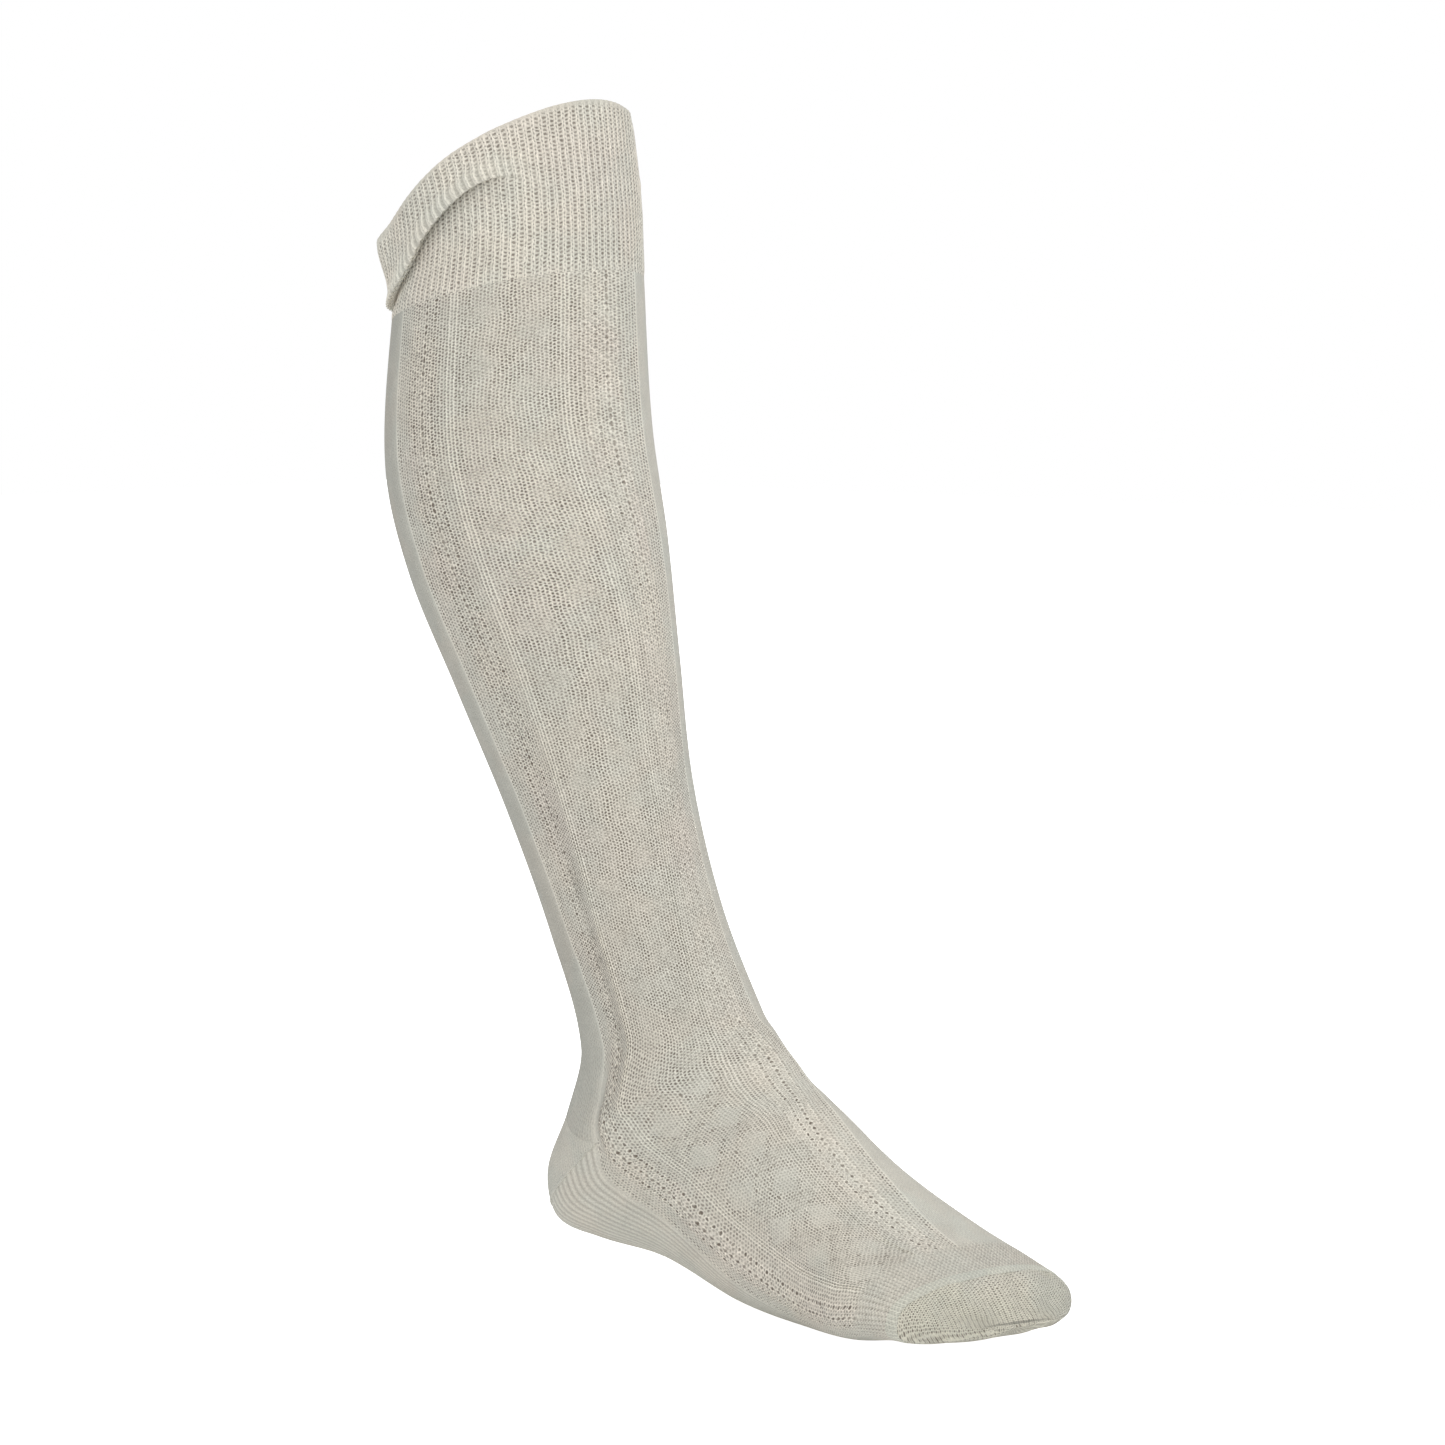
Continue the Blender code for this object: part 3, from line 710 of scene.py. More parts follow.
class Wire:
    """A value in a node tree, whose arithmetic adds the math nodes that work it out."""

    def __init__(self, tree, socket):
        self.tree = tree
        self.socket = socket

    def feed(self, socket):
        self.tree.links.new(self.socket, socket)

    def math(self, operation, other=None, clamp=False, swap=False):
        node = self.tree.nodes.new("ShaderNodeMath")
        node.operation = operation
        node.use_clamp = clamp
        self.feed(node.inputs[int(swap)])
        if isinstance(other, Wire):
            other.feed(node.inputs[1])
        elif other is not None:
            node.inputs[int(not swap)].default_value = other
        return Wire(self.tree, node.outputs[0])

    def __add__(self, other):
        return self.math("ADD", other)

    def __sub__(self, other):
        return self.math("SUBTRACT", other)

    def __rsub__(self, number):
        return self.math("SUBTRACT", number, swap=True)

    def __mul__(self, other):
        return self.math("MULTIPLY", other)

    def __truediv__(self, number):
        return self.math("DIVIDE", number)

    def most(self, other):
        return self.math("MAXIMUM", other)

    def clamped(self):
        return self.math("ADD", 0.0, clamp=True)

    def parity(self):
        """0 or 1 by turns, changing at each whole number."""
        return self.math("FLOOR").math("MODULO", 2.0)

    def ramp(self, low, high, to_low=0.0, to_high=1.0):
        """A smooth step from to_low to to_high while the value goes from low to high."""
        node = self.tree.nodes.new("ShaderNodeMapRange")
        node.interpolation_type = "SMOOTHSTEP"
        self.feed(node.inputs["Value"])
        ends = {"From Min": low, "From Max": high, "To Min": to_low, "To Max": to_high}
        for name, number in ends.items():
            node.inputs[name].default_value = number
        return Wire(self.tree, node.outputs["Result"])

    def off_grid(self, period=1.0, offset=0.0):
        """Distance to the nearest multiple of period, after an offset."""
        share = ((self - offset) / period + 0.5).math("FRACT")
        return (share - 0.5).math("ABSOLUTE") * period

    def parts(self, kind):
        """The three parts of a colour or a vector."""
        node = self.tree.nodes.new(kind)
        self.feed(node.inputs[0])
        return [Wire(self.tree, socket) for socket in node.outputs[:3]]

    def noise(self, scale, detail=2.0, output="Fac"):
        """Noise at this place."""
        node = self.tree.nodes.new("ShaderNodeTexNoise")
        node.inputs["Scale"].default_value = scale
        node.inputs["Detail"].default_value = detail
        self.feed(node.inputs["Vector"])
        return Wire(self.tree, node.outputs[output])


def from_node(tree, kind, output):
    return Wire(tree, tree.nodes.new(kind).outputs[output])


def mixed(factor, first, second):
    node = factor.tree.nodes.new("ShaderNodeMix")
    node.data_type = "RGBA"
    factor.feed(node.inputs["Factor"])
    first.feed(node.inputs[6])
    second.feed(node.inputs[7])
    return Wire(factor.tree, node.outputs[2])


def spot(across, along, half_across, half_along):
    """A soft round spot from two distances."""
    a = across / half_across
    b = along / half_along
    return (a * a + b * b).math("SQRT").ramp(0.45, 1.25, 1.0, 0.0)


def new_group(name, inputs, outputs):
    """An empty node group with these sockets: its tree, its inputs' wires and its output sockets."""
    tree = bpy.data.node_groups.new(name, "ShaderNodeTree")
    for side, kinds in (("INPUT", inputs), ("OUTPUT", outputs)):
        for label, kind in kinds.items():
            tree.interface.new_socket(name=label, in_out=side, socket_type="NodeSocket" + kind)
    sockets = tree.nodes.new("NodeGroupInput").outputs
    given = {label: Wire(tree, sockets[label]) for label in inputs}
    return tree, given, tree.nodes.new("NodeGroupOutput").inputs


def stitch_group(name):
    """Stitches from wale and course: holes, painted highlights on the yarn round them, grooves and the
    yarn's height.

    Distances and the sizes of spots are in wales and courses.
    """
    inputs = dict.fromkeys(("Wale", "Course", *STITCH_MASKS), "Float")
    outputs = dict.fromkeys(("Hole", "Light", "Groove", "Height"), "Float")
    tree, given, result = new_group(name, inputs, outputs)
    place = from_node(tree, "ShaderNodeTexCoord", "Object")
    uneven = place.noise(STITCH_NOISE, 1.0, "Color").parts("ShaderNodeSeparateColor")
    wale = given["Wale"] + (uneven[0] - 0.5) * 0.75
    course = given["Course"] + (uneven[1] - 0.5)
    from_wale = wale.off_grid()
    from_boundary = wale.off_grid(1.0, 0.5)
    from_dot = (course + wale.parity() * 0.5).off_grid()
    dot = spot(from_boundary, from_dot, 0.37, 0.31)
    halo = spot(from_boundary, from_dot, 0.62, 0.66)
    from_rib = wale.off_grid(2.0)
    from_valley = wale.off_grid(2.0, 1.0)
    from_rung = course.off_grid()
    rung = spot(from_valley, from_rung, 0.50, 0.29)
    between = spot(from_rib, course.off_grid(1.0, 0.5), 0.24, 0.30)
    pairs = from_rib.ramp(0.05, 0.25) * from_rib.ramp(0.42, 0.66, 1.0, 0.0)
    from_hole = wale.off_grid(3.0, 1.5)
    from_pair = (course + (wale / 3.0).parity()).off_grid(2.0)
    eyelet = spot(from_hole, from_pair, 0.56, 0.48)
    ring = spot(from_hole, from_pair, 1.25, 0.95)
    hole = (dot * given["Dots"]).most(rung * given["Rungs"]).most(between * given["Rungs"] * 0.8)
    hole = hole.most(eyelet * given["Eyelets"]) * uneven[2].ramp(0.35, 0.60, 0.65, 1.0)
    hole = hole.clamped()
    rung_ends = from_rung.ramp(0.24, 0.40) * from_valley.ramp(0.45, 0.60, 0.5, 0.0)
    # Painted highlights on the yarn between the dots, on the paired columns, round the eyelets and at the
    # ends of the rungs
    light = ((1.0 - halo) * given["Dots"]).most(pairs * given["Pairs"])
    light = light.most((ring - eyelet) * given["Eyelets"]).most(rung_ends * given["Rungs"])
    light = (light * uneven[1].ramp(0.36, 0.62, 0.65, 1.0)).clamped()
    groove = from_boundary.ramp(0.05, 0.32, 1.0, 0.0) * given["Grooves"]
    loops = (course + from_wale * 1.6).off_grid().ramp(0.08, 0.5, 1.0, 0.0)
    yarn = (loops * 0.35 + 0.5) * (1.0 - from_wale * from_wale)
    height = yarn - hole * 0.8 + light * 0.3 - groove * 0.35
    for label, value in zip(outputs, (hole, light, groove, height)):
        value.feed(result[label])


def wool_group(name):
    """Colour of the wool: cool and warm patches, flecks of yarn, painted highlights, painted light and
    shade from the shade mask, and painted shade in holes and grooves.
    """
    inputs = dict.fromkeys(("Wool", "Cool", "Warm", "Hollow"), "Color")
    inputs.update(dict.fromkeys(("Open", "Hole", "Light", "Groove", "Lines", "Shade"), "Float"))
    tree, given, result = new_group(name, inputs, {"Colour": "Color", "Fleck": "Float"})
    place = from_node(tree, "ShaderNodeTexCoord", "Object")
    warmth = place.noise(PATCH_NOISE).ramp(0.40, 0.60) * 0.35 + given["Open"] * 0.30 + 0.35
    colour = mixed((1.0 - warmth).clamped(), given["Wool"], given["Cool"])
    warm_share = place.noise(WARM_NOISE).ramp(0.45, 0.7) * given["Open"] * 0.6
    colour = mixed(warm_share, colour, given["Warm"])
    fleck = place.noise(FLECK_NOISE, 3.0)
    # Painted highlights on crests and round the holes, then the painted light and shade of the shade mask
    bright = fleck.ramp(0.25, 0.75, 0.90, 1.08) * (given["Lines"] * 0.20 + 1.0)
    bright = bright * (given["Light"] * 0.38 + 0.94) * given["Shade"]
    bright = bright * place.noise(CLOUD_NOISE).ramp(0.3, 0.7, 0.965, 1.03)
    # Painted shade in the grooves between wales
    bright = bright * (1.0 - given["Groove"] * 0.20)
    scaled = tree.nodes.new("ShaderNodeVectorMath")
    scaled.operation = "SCALE"
    colour.feed(scaled.inputs[0])
    bright.feed(scaled.inputs["Scale"])
    # Painted shade in the holes
    colour = mixed((given["Hole"] * 0.95).clamped(), Wire(tree, scaled.outputs[0]), given["Hollow"])
    colour.feed(result["Colour"])
    fleck.feed(result["Fleck"])


def placed_group(tree, name, build):
    """A node of a shared group, which is built the first time that it is placed."""
    if name not in bpy.data.node_groups:
        build(name)
    node = tree.nodes.new("ShaderNodeGroup")
    node.node_tree = bpy.data.node_groups[name]
    return node


def wool_material(name, yarn):
    """Knitted wool: a material that reads the piece's wale and course map and its masks."""
    colours = bpy.context.scene.sock_colours
    material = bpy.data.materials.new(name)
    material.use_nodes = True
    tree = material.node_tree
    shader = tree.nodes["Principled BSDF"]
    shader.inputs["Roughness"].default_value = 0.92
    shader.inputs["Specular IOR Level"].default_value = 0.18
    shader.inputs["Sheen Weight"].default_value = 0.12
    shader.inputs["Sheen Roughness"].default_value = 0.45
    shader.inputs["Sheen Tint"].default_value = (0.75, 0.87, 1.0, 1.0)
    knit_map = tree.nodes.new("ShaderNodeUVMap")
    knit_map.uv_map = "Knit"
    wale, course, _ = Wire(tree, knit_map.outputs[0]).parts("ShaderNodeSeparateXYZ")
    stitches = placed_group(tree, "knit_stitches", stitch_group)
    shades = placed_group(tree, "wool_shades", wool_group)
    wale.feed(stitches.inputs["Wale"])
    course.feed(stitches.inputs["Course"])
    yarns = (yarn or colours.wool, colours.cool, colours.warm, colours.hollow)
    for label, tint in zip(("Wool", "Cool", "Warm", "Hollow"), yarns):
        shades.inputs[label].default_value = (*tint, 1.0)
    for node, labels in ((stitches, STITCH_MASKS), (shades, ("Open", "Lines", "Shade"))):
        for label in labels:
            mask = tree.nodes.new("ShaderNodeAttribute")
            mask.attribute_name = label.lower()
            tree.links.new(mask.outputs["Fac"], node.inputs[label])
    for label in ("Hole", "Light", "Groove"):
        tree.links.new(stitches.outputs[label], shades.inputs[label])
    tree.links.new(shades.outputs["Colour"], shader.inputs["Base Color"])
    bump = tree.nodes.new("ShaderNodeBump")
    bump.inputs["Strength"].default_value = 0.8
    bump.inputs["Distance"].default_value = bpy.context.scene.sock_knit.stitch_relief
    height = Wire(tree, stitches.outputs["Height"]) + Wire(tree, shades.outputs["Fleck"]) * 0.25
    height.feed(bump.inputs["Height"])
    tree.links.new(bump.outputs[0], shader.inputs["Normal"])
    return material


def plain_masks(shape, **given):
    masks = {label.lower(): 0.0 for label in STITCH_MASKS}
    masks.update({"lines": 0.0, "open": 0.0, "shade": 1.0})
    masks.update(given)
    return {name: np.broadcast_to(np.asarray(value, float), shape) for name, value in masks.items()}


# Operators, one for each piece


class SOCK_OT_cuff(bpy.types.Operator):
    """Knits the ribbed cuff with its turned tuck"""

    bl_idname = "sock.cuff"
    bl_label = "Cuff"

    def execute(self, context):
        form, knit = context.scene.sock_form, context.scene.sock_knit
        cloth = Cloth(form)
        rows, columns = CUFF_GRID
        shares, wales = wales_round(columns)
        way = rows_down(rows)
        side = np.abs(shares)
        height, fold, reach, drop = np.moveaxis(smooth_through(CREASE, side), -1, 0)
        fold = np.clip(fold, 0, 1)
        out, rise = np.moveaxis(smooth_through(TUCK, way), -1, 0)
        lifted = np.where(rise < 0, height * (1 + rise), height + rise * (1 - height))
        lifted = lifted * fold + way * (1 - fold)
        lifted = lifted - np.clip(drop, 0, 1) * smooth_step(way, 0.62, 1.0)
        at = CUFF_AT * (1 - lifted)
        lean = smooth_through(RIB_LEAN, way)[..., 0] * LEAN * fold * (1 - smooth_step(side, 0.88, 1.0))
        share = shares + np.sign(shares) * lean
        outer = cloth.points(at, share)
        inner = cloth.points(at, share, form.cuff_wall)
        outwards = (outer - inner) / form.cuff_wall
        outwards /= np.linalg.norm(outwards, axis=-1, keepdims=True)
        crest = ridges(wales)
        rim = smooth_step(way, 0.965, 0.99)
        turned = band(way, 0.56, 0.78, 0.06) * fold
        relief = knit.rib_depth * (crest - 0.5) * (1 - 0.6 * rim) * (1 + 1.4 * turned)
        relief = relief * smooth_step(way, 0.0, 0.06)
        ripple = CUFF_RIPPLE * repeatable_noise(RIPPLE_SEED, at.shape, (7, 40)) * smooth_step(way, 0.0, 0.1)
        flare = RIM_FLARE * peak(side, RIM_CORNER, 0.055) * smooth_step(way, 0.72, 1.0)
        lift = out * fold * reach * form.tuck_reach + flare
        outer = outer + outwards * (lift + relief + ripple)[..., None]
        inner = inner + outwards * lift[..., None]
        length = np.cumsum(np.linalg.norm(np.diff(outer, axis=0), axis=2), axis=0)
        length = np.vstack([np.zeros((1, columns)), length])
        spread = 0.85 + 0.15 * repeatable_noise(RUNG_SEED, at.shape, (20, 60))
        # Painted light and shade for the cuff's shade mask: the back of the cuff painted lighter where the
        # lamps leave it dim, a painted shadow in the band under the crease of the tuck, and painted shade
        # in the rib valleys of the turned tuck and of the front
        crease_shade = band(way, 0.40, 0.52, 0.05) * fold
        front = 1 - smooth_step(side, 0.12, 0.3)
        lit = 0.06 * smooth_step(side, 0.5, 0.75)
        masks = plain_masks(
            at.shape,
            rungs=np.clip(0.85 * spread * (1 - 0.9 * turned) * (1 - rim), 0, 1),
            pairs=(1 - rim) * 0.7,
            grooves=0.1 * (1 - rim),
            # Painted highlights on the rim and on the crests of the ribs
            lines=0.3 * rim + 0.4 * crest**2 * (1 - rim),
            open=0.8 * (1 - 0.9 * turned),
            shade=1 + lit - 0.12 * crease_shade - (0.08 * turned + 0.12 * front) * (1 - crest),
        )
        masks = {name: values[::-1] for name, values in masks.items()}
        stitches = stitch_places(wales, -length / knit.cuff_course_pitch)
        inner = inner[picked_rows(rows - 1, CUFF_INNER_ROWS)]
        mesh = sheet_mesh("cuff", outer[::-1], inner[::-1], stitches[::-1], masks)
        place_piece(mesh, "cuff", "cuff_wool")
        return {"FINISHED"}


def patterned_piece(name, slot, grid, starts, ends, mask_of):
    """A piece between two edges, its columns along the wales, raised and marked by its masks."""
    form, knit = bpy.context.scene.sock_form, bpy.context.scene.sock_knit
    cloth = Cloth(form)
    rows, columns = grid
    shares, wales = wales_round(columns)
    way = rows_down(rows)
    at = edge_along(shares, starts) * (1 - way) + edge_along(shares, ends) * way
    share = drifted(at, shares)
    course = cloth.length_down(at, share) / knit.course_pitch
    wale = np.broadcast_to(wales, at.shape)
    masks, shift = mask_of(at, wale, course)
    outer = cloth.raised(at, share, masks.pop("relief") * knit.panel_relief)
    pick = picked_rows(rows - 1, INNER_ROWS)
    inner = cloth.points(at[pick], share[pick], form.cloth_wall)
    mesh = sheet_mesh(name, outer, inner, stitch_places(wale + shift, course), masks)
    place_piece(mesh, name, slot)


def gusset(at, wale):
    """How near this is to the few big holes at the corner where heel, leg and foot meet."""
    return peak(side_of(wale), GUSSET_AT[1], 0.035) * peak(at, GUSSET_AT[0], 0.16)


def leg_masks(at, wale, course):
    strength = 0.18 + 0.37 * smooth_step(at, 9.5, 11)
    panel = panel_masks(wale, course, strength)
    fade = smooth_step(at, 2.0, 2.12)
    side = side_of(wale)
    keep = 1 - smooth_step(side, HEEL_CORNER, HEEL_CORNER + 0.03) * smooth_step(at, 8.0, 9.0)
    noise = 0.85 + 0.25 * repeatable_noise(LEG_SEED, at.shape, (60, 90))
    plain = plain_strip(wale)
    masks = plain_masks(
        at.shape,
        dots=panel["dots"] * noise * keep + 0.05 + 0.12 * plain,
        rungs=panel["rungs"] * noise * keep,
        pairs=panel["pairs"] * keep,
        eyelets=np.clip(0.8 * panel["eyelets"] * keep + gusset(at, wale), 0, 1),
        grooves=panel["grooves"] * keep + 0.12 + 0.22 * plain,
        # Painted highlights on raised wales; below, painted light and shade over the lace's knobs, a little
        # darker along the plain strips, and painted shade on the back of the leg, turned from the lamps
        lines=panel["lines"] * (0.4 + 0.6 * keep),
        open=panel["open"] * keep,
        shade=1 + 0.17 * panel["knobs"] * keep - 0.04 * plain - 0.15 * smooth_step(side, 0.60, 0.66),
    )
    masks["relief"] = panel["relief"] * fade * keep
    return masks, panel["shift"]


class SOCK_OT_leg(bpy.types.Operator):
    """Knits the openwork leg"""

    bl_idname = "sock.leg"
    bl_label = "Leg"

    def execute(self, context):
        patterned_piece(
            "leg",
            "leg_wool",
            LEG_GRID,
            lambda shares: np.full_like(shares, CUFF_AT),
            lambda shares: heel_edge(shares, HEEL_TOP_AT),
            leg_masks,
        )
        return {"FINISHED"}


class SOCK_OT_heel(bpy.types.Operator):
    """Knits the smooth heel pocket"""

    bl_idname = "sock.heel"
    bl_label = "Heel"

    def execute(self, context):
        form, knit = context.scene.sock_form, context.scene.sock_knit
        cloth = Cloth(form)
        rows, columns = HEEL_GRID
        first = HEEL_CORNER + HEEL_GAP
        shares = np.linspace(first, 2 - first, columns)
        way = rows_down(rows)
        at = heel_edge(shares, HEEL_TOP_AT) * (1 - way) + heel_edge(shares, HEEL_SOLE_AT) * way
        share = np.broadcast_to(shares, at.shape)
        ridge = smooth_step(way, 0.93, 0.985) * (1 - smooth_step(way, 0.985, 1.0) * 0.4)
        outer = cloth.raised(at, share, HEEL_RIDGE * ridge)
        inner = cloth.points(at, share, form.cloth_wall)
        course = cloth.between(cloth.lengths, at, share) / knit.course_pitch
        stitches = stitch_places((share + 1) / 2 * knit.wales, course)
        # Painted highlight along the ridge where the heel meets the sole, and painted shade over the whole
        # heel, which faces down and back
        masks = plain_masks(at.shape, dots=0.15, grooves=0.22, lines=0.35 * ridge, shade=0.955)
        mesh = sheet_mesh("heel", outer, inner, stitches, masks, closed=False)
        place_piece(mesh, "heel", "heel_wool")
        return {"FINISHED"}


def foot_masks(at, wale, course):
    panel = panel_masks(wale, course, 0.5)
    sole = smooth_step(side_of(wale), SOLE_FROM, SOLE_FROM + 0.02)
    plain = plain_strip(wale) * (1 - sole)
    toe_end = smooth_step(at, PATTERN_END_AT - 0.1, PATTERN_END_AT + 0.1) * (1 - sole)
    keep = (1 - sole) * (1 - toe_end)
    noise = 0.85 + 0.25 * repeatable_noise(FOOT_SEED, at.shape, (50, 90))
    valley = (1 - ridges(wale)) ** 2
    striped = sole + 0.8 * toe_end
    masks = plain_masks(
        at.shape,
        dots=panel["dots"] * noise * keep + 0.3 * toe_end + 0.1 * sole + 0.12 * plain,
        rungs=panel["rungs"] * keep + 0.5 * toe_end,
        pairs=panel["pairs"] * keep,
        eyelets=np.clip(panel["eyelets"] * keep + gusset(at, wale) * (1 - sole), 0, 1),
        grooves=panel["grooves"] * keep + 0.28 * plain,
        # Painted highlights on raised wales and on the crests of the sole's ribs; below, painted light and
        # shade over the lace's knobs, a little lighter where the pattern ends at the toes, and painted
        # shade in the valleys between the ribs of the sole and the toe end
        lines=panel["lines"] * keep + 0.35 * striped * (1 - valley),
        open=panel["open"] * keep + striped * (0.2 + 0.6 * valley),
        shade=1 + 0.08 * panel["knobs"] * keep + 0.07 * toe_end - 0.27 * striped * valley,
    )
    masks["relief"] = panel["relief"] * keep + 0.6 * striped * (0.5 - valley)
    return masks, panel["shift"] * keep


class SOCK_OT_foot(bpy.types.Operator):
    """Knits the foot, openwork on top and plain underneath"""

    bl_idname = "sock.foot"
    bl_label = "Foot"

    def execute(self, context):
        patterned_piece(
            "foot",
            "foot_wool",
            FOOT_GRID,
            lambda shares: heel_edge(shares, HEEL_SOLE_AT),
            lambda shares: np.full_like(shares, TOE_SEAM_AT),
            foot_masks,
        )
        return {"FINISHED"}


def seam_end(cloth, shares, breadth):
    """Where the toe seam ends, its breadth further along than it starts."""
    near = cloth.points(np.full_like(shares, TOE_SEAM_AT), shares)
    ahead = cloth.points(np.full_like(shares, TOE_SEAM_AT + SEAM_STEP), shares)
    return TOE_SEAM_AT + SEAM_STEP * breadth / np.linalg.norm(ahead - near, axis=-1)


class SOCK_OT_toe_seam(bpy.types.Operator):
    """Knits the smooth raised band where the toe cap is joined"""

    bl_idname = "sock.toe_seam"
    bl_label = "Toe seam"

    def execute(self, context):
        form, knit = context.scene.sock_form, context.scene.sock_knit
        cloth = Cloth(form)
        rows, columns = SEAM_GRID
        shares, wales = wales_round(columns)
        way = rows_down(rows)
        at = TOE_SEAM_AT * (1 - way) + seam_end(cloth, shares, form.seam_breadth) * way
        share = np.broadcast_to(shares, at.shape)
        uneven = 1 + 0.15 * repeatable_noise(BEAD_SEED, at.shape, (3, 120))
        outer = cloth.raised(at, share, SEAM_BEAD * np.sin(math.pi * way) * uneven)
        inner = cloth.points(at[[0, -1]], share[[0, -1]], form.seam_wall)
        stitches = stitch_places(wales, cloth.length_down(at, share) / knit.course_pitch)
        valley = 1 - ridges(wales)
        # Painted highlights on the crests of the wales and painted shade in their valleys
        masks = plain_masks(at.shape, dots=0.3, lines=0.5 - 0.4 * valley, shade=1 - 0.14 * valley)
        mesh = sheet_mesh("toe_seam", outer, inner, stitches, masks)
        place_piece(mesh, "toe_seam", "seam_wool", context.scene.sock_colours.seam)
        return {"FINISHED"}


def toe_swelling(at, shares, size):
    """Low swellings of the toes on top of the cap."""
    grow = np.clip((at - SWELL_BEGINS) / (SWELL_FULL - SWELL_BEGINS), 0, 1)
    fade = np.clip((SWELL_ENDS - at) / (SWELL_ENDS - SWELL_FADES), 0, 1)
    top = np.maximum(0.0, np.cos(shares * math.pi / 2 / 1.11))
    return -size / 2 * grow * fade * top * np.cos(2 * math.pi * TOES * (shares / TOES_ACROSS + 0.5))


class SOCK_OT_toe(bpy.types.Operator):
    """Knits the toe cap"""

    bl_idname = "sock.toe"
    bl_label = "Toe"

    def execute(self, context):
        form, knit = context.scene.sock_form, context.scene.sock_knit
        cloth = Cloth(form)
        rows, columns = TOE_GRID
        shares, _ = wales_round(columns)
        way = rows_down(rows)
        at = seam_end(cloth, shares, form.seam_breadth) * (1 - way) + TIP_AT * way
        share = np.broadcast_to(shares, at.shape)
        outer = cloth.raised(at, share, toe_swelling(at, share, form.toe_swell))
        pick = picked_rows(TOE_INNER_END, INNER_ROWS)
        inner = cloth.points(at[pick], share[pick], form.cloth_wall)
        across = outer[..., 1]
        depth = cloth.points(at, np.zeros_like(share))[..., 2] - outer[..., 2]
        down_side = 0.9 * np.maximum(depth, 0) * across / (np.abs(across) + 0.005)
        wale = (across + down_side) / knit.toe_wale
        stitches = stitch_places(wale, cloth.length_down(at, share) / knit.course_pitch)
        valley = 1 - ridges(wale)
        # Painted highlights on the crests of the toe's wales and painted shade in their valleys
        masks = plain_masks(
            at.shape, rungs=0.9, lines=0.35 - 0.35 * valley, open=0.5, shade=1.03 - 0.13 * valley**2
        )
        tips = (outer[-1].mean(axis=0), inner[-1].mean(axis=0))
        mesh = sheet_mesh("toe", outer, inner, stitches, masks, tips=tips)
        place_piece(mesh, "toe", "toe_wool", context.scene.sock_colours.toe)
        return {"FINISHED"}


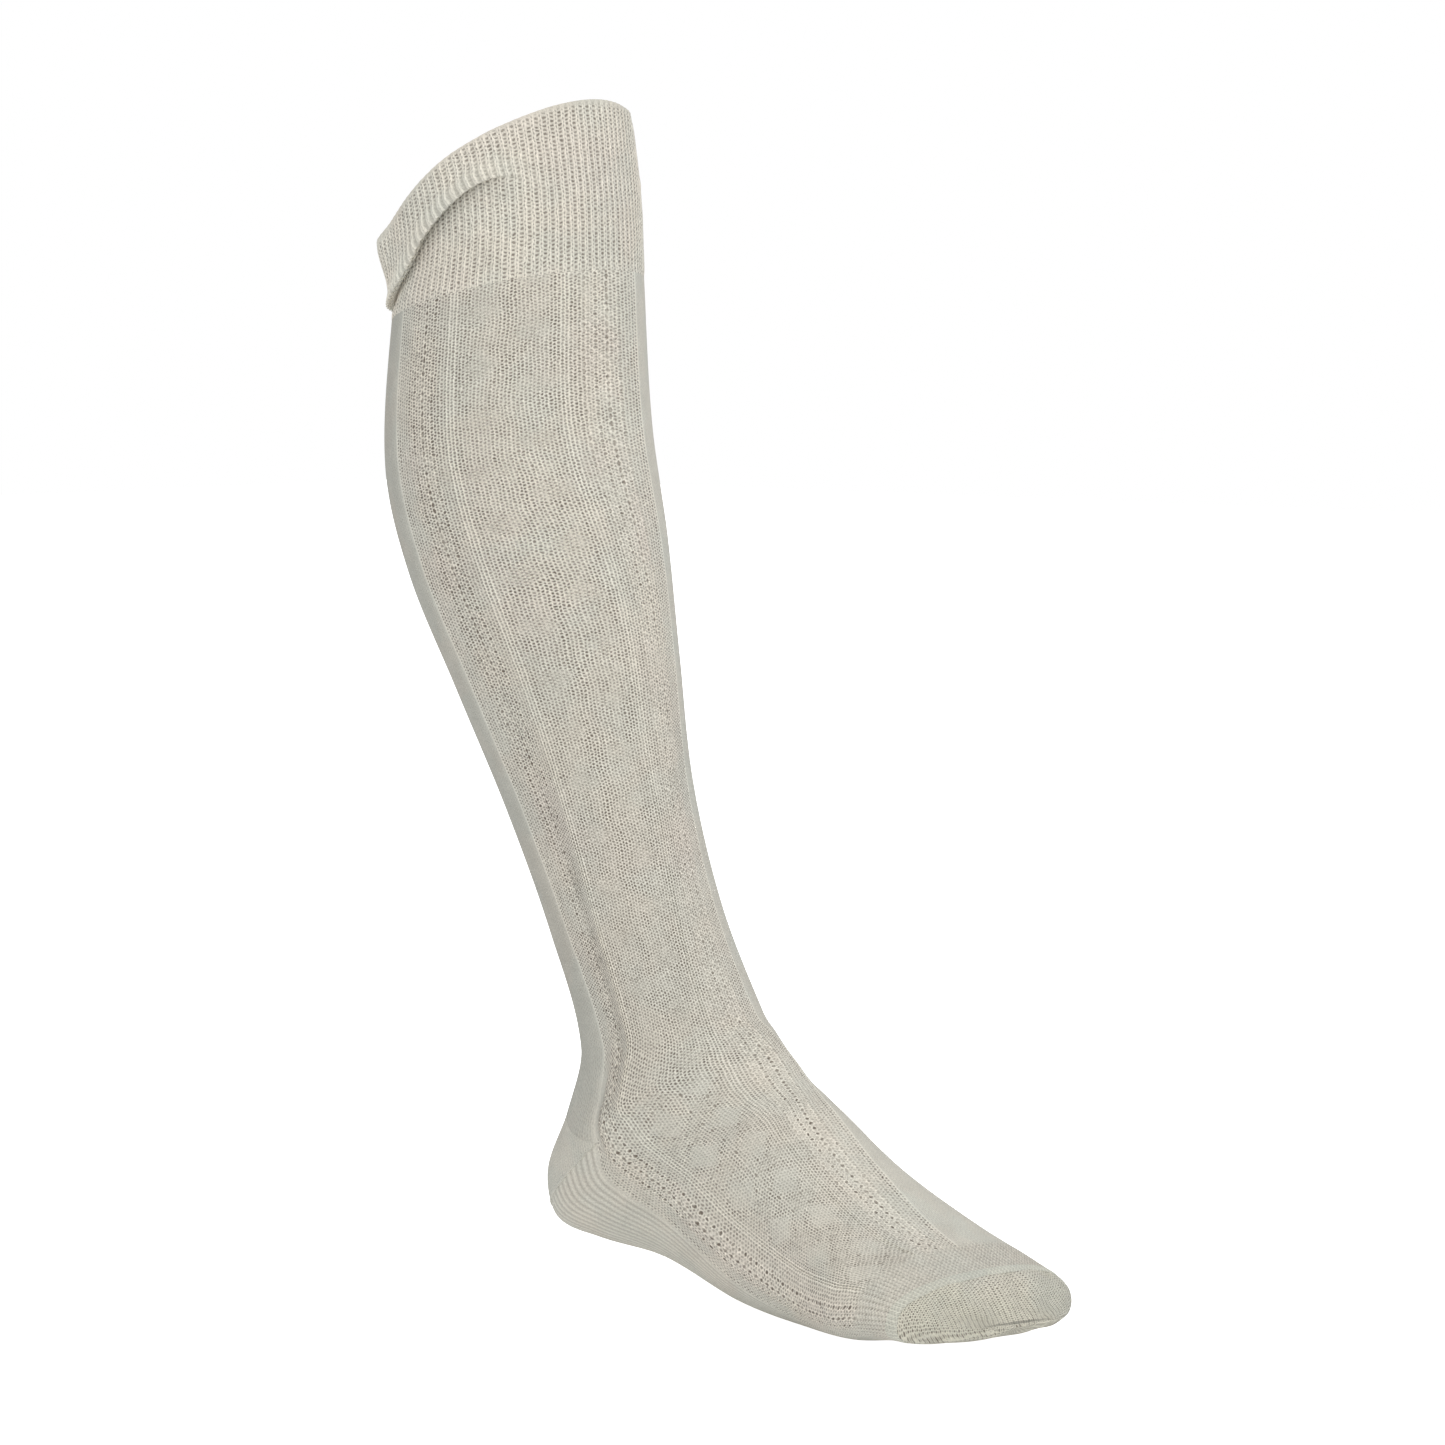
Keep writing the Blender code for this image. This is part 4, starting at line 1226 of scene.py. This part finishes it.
class SOCK_OT_stage(bpy.types.Operator):
    """Sets the camera, the floor and the lights"""

    bl_idname = "sock.stage"
    bl_label = "Stage"

    def execute(self, context):
        scene = context.scene
        stage = scene.sock_stage
        look_at = Vector(stage.look_at)
        camera = bpy.data.cameras.new("camera")
        camera.lens = stage.lens
        camera.sensor_width = 36.0
        camera.shift_x, camera.shift_y = CAMERA_SHIFT
        camera.clip_end = 50.0
        scene.camera = put("camera", camera, stage.eye, look_at)
        pale = bpy.data.materials.new("pale_floor")
        pale.use_nodes = True
        shader = pale.node_tree.nodes["Principled BSDF"]
        shader.inputs["Base Color"].default_value = (0.93, 0.93, 0.93, 1.0)
        shader.inputs["Roughness"].default_value = 1.0
        shader.inputs["Specular IOR Level"].default_value = 0.0
        shader.inputs["Emission Color"].default_value = (1.0, 1.0, 1.0, 1.0)
        seen_by_camera = from_node(pale.node_tree, "ShaderNodeLightPath", "Is Camera Ray")
        glow = seen_by_camera.ramp(0.0, 1.0, stage.floor_light, stage.floor_glow)
        glow.feed(shader.inputs["Emission Strength"])
        corners = [(FLOOR_HALF * x, FLOOR_HALF * y, 0) for x, y in ((-1, -1), (1, -1), (1, 1), (-1, 1))]
        mesh = bpy.data.meshes.new("floor")
        mesh.from_pydata(corners, [], [(0, 1, 2, 3)])
        mesh.materials.append(pale)
        floor = put("floor", mesh, (0.0, 0.0, CAD_BOX[0].z - stage.floor_drop))
        world = bpy.data.worlds.new("studio")
        world.use_nodes = True
        tree = world.node_tree
        lit = tree.nodes["Background"]
        lit.inputs["Strength"].default_value = stage.sky
        seen = tree.nodes.new("ShaderNodeBackground")
        for node in (lit, seen):
            node.inputs["Color"].default_value = (1.0, 1.0, 1.0, 1.0)
        mix = tree.nodes.new("ShaderNodeMixShader")
        from_node(tree, "ShaderNodeLightPath", "Is Camera Ray").feed(mix.inputs[0])
        tree.links.new(lit.outputs[0], mix.inputs[1])
        tree.links.new(seen.outputs[0], mix.inputs[2])
        tree.links.new(mix.outputs[0], tree.nodes["World Output"].inputs["Surface"])
        scene.world = world
        for name, place, power in (("key", KEY_PLACE, stage.key), ("top", TOP_PLACE, stage.top)):
            lamp = bpy.data.lights.new(name, "AREA")
            lamp.energy = power
            lamp.size = LAMP_SIZE
            put(name, lamp, place, look_at)
        scene.view_settings.view_transform = "Standard"
        return {"FINISHED"}


class SOCK_PT_panel(bpy.types.Panel):
    """Lists the pieces and their sizes"""

    bl_idname = "SOCK_PT_panel"
    bl_label = "Wool knee sock"
    bl_space_type = "VIEW_3D"
    bl_region_type = "UI"
    bl_category = "Sock"

    def draw(self, context):
        layout = self.layout
        for step in STEPS:
            layout.operator(step.bl_idname)
        for name in GROUPS:
            box = layout.box()
            settings = getattr(context.scene, name)
            for prop in settings.bl_rna.properties:
                if prop.identifier not in ("rna_type", "name"):
                    box.prop(settings, prop.identifier)


STEPS = (
    SOCK_OT_cuff,
    SOCK_OT_leg,
    SOCK_OT_heel,
    SOCK_OT_foot,
    SOCK_OT_toe_seam,
    SOCK_OT_toe,
    SOCK_OT_stage,
)
GROUPS = {
    "sock_form": SockForm,
    "sock_knit": SockKnit,
    "sock_colours": SockColours,
    "sock_stage": SockStage,
}


def register():
    for cls in (*GROUPS.values(), *STEPS, SOCK_PT_panel):
        bpy.utils.register_class(cls)
    for name, cls in GROUPS.items():
        setattr(bpy.types.Scene, name, bpy.props.PointerProperty(type=cls))


def unregister():
    for name in GROUPS:
        delattr(bpy.types.Scene, name)
    for cls in reversed((*GROUPS.values(), *STEPS, SOCK_PT_panel)):
        bpy.utils.unregister_class(cls)


def main():
    register()
    bpy.ops.sock.cuff()
    bpy.ops.sock.leg()
    bpy.ops.sock.heel()
    bpy.ops.sock.foot()
    bpy.ops.sock.toe_seam()
    bpy.ops.sock.toe()
    bpy.ops.sock.stage()


if __name__ == "__main__":
    main()
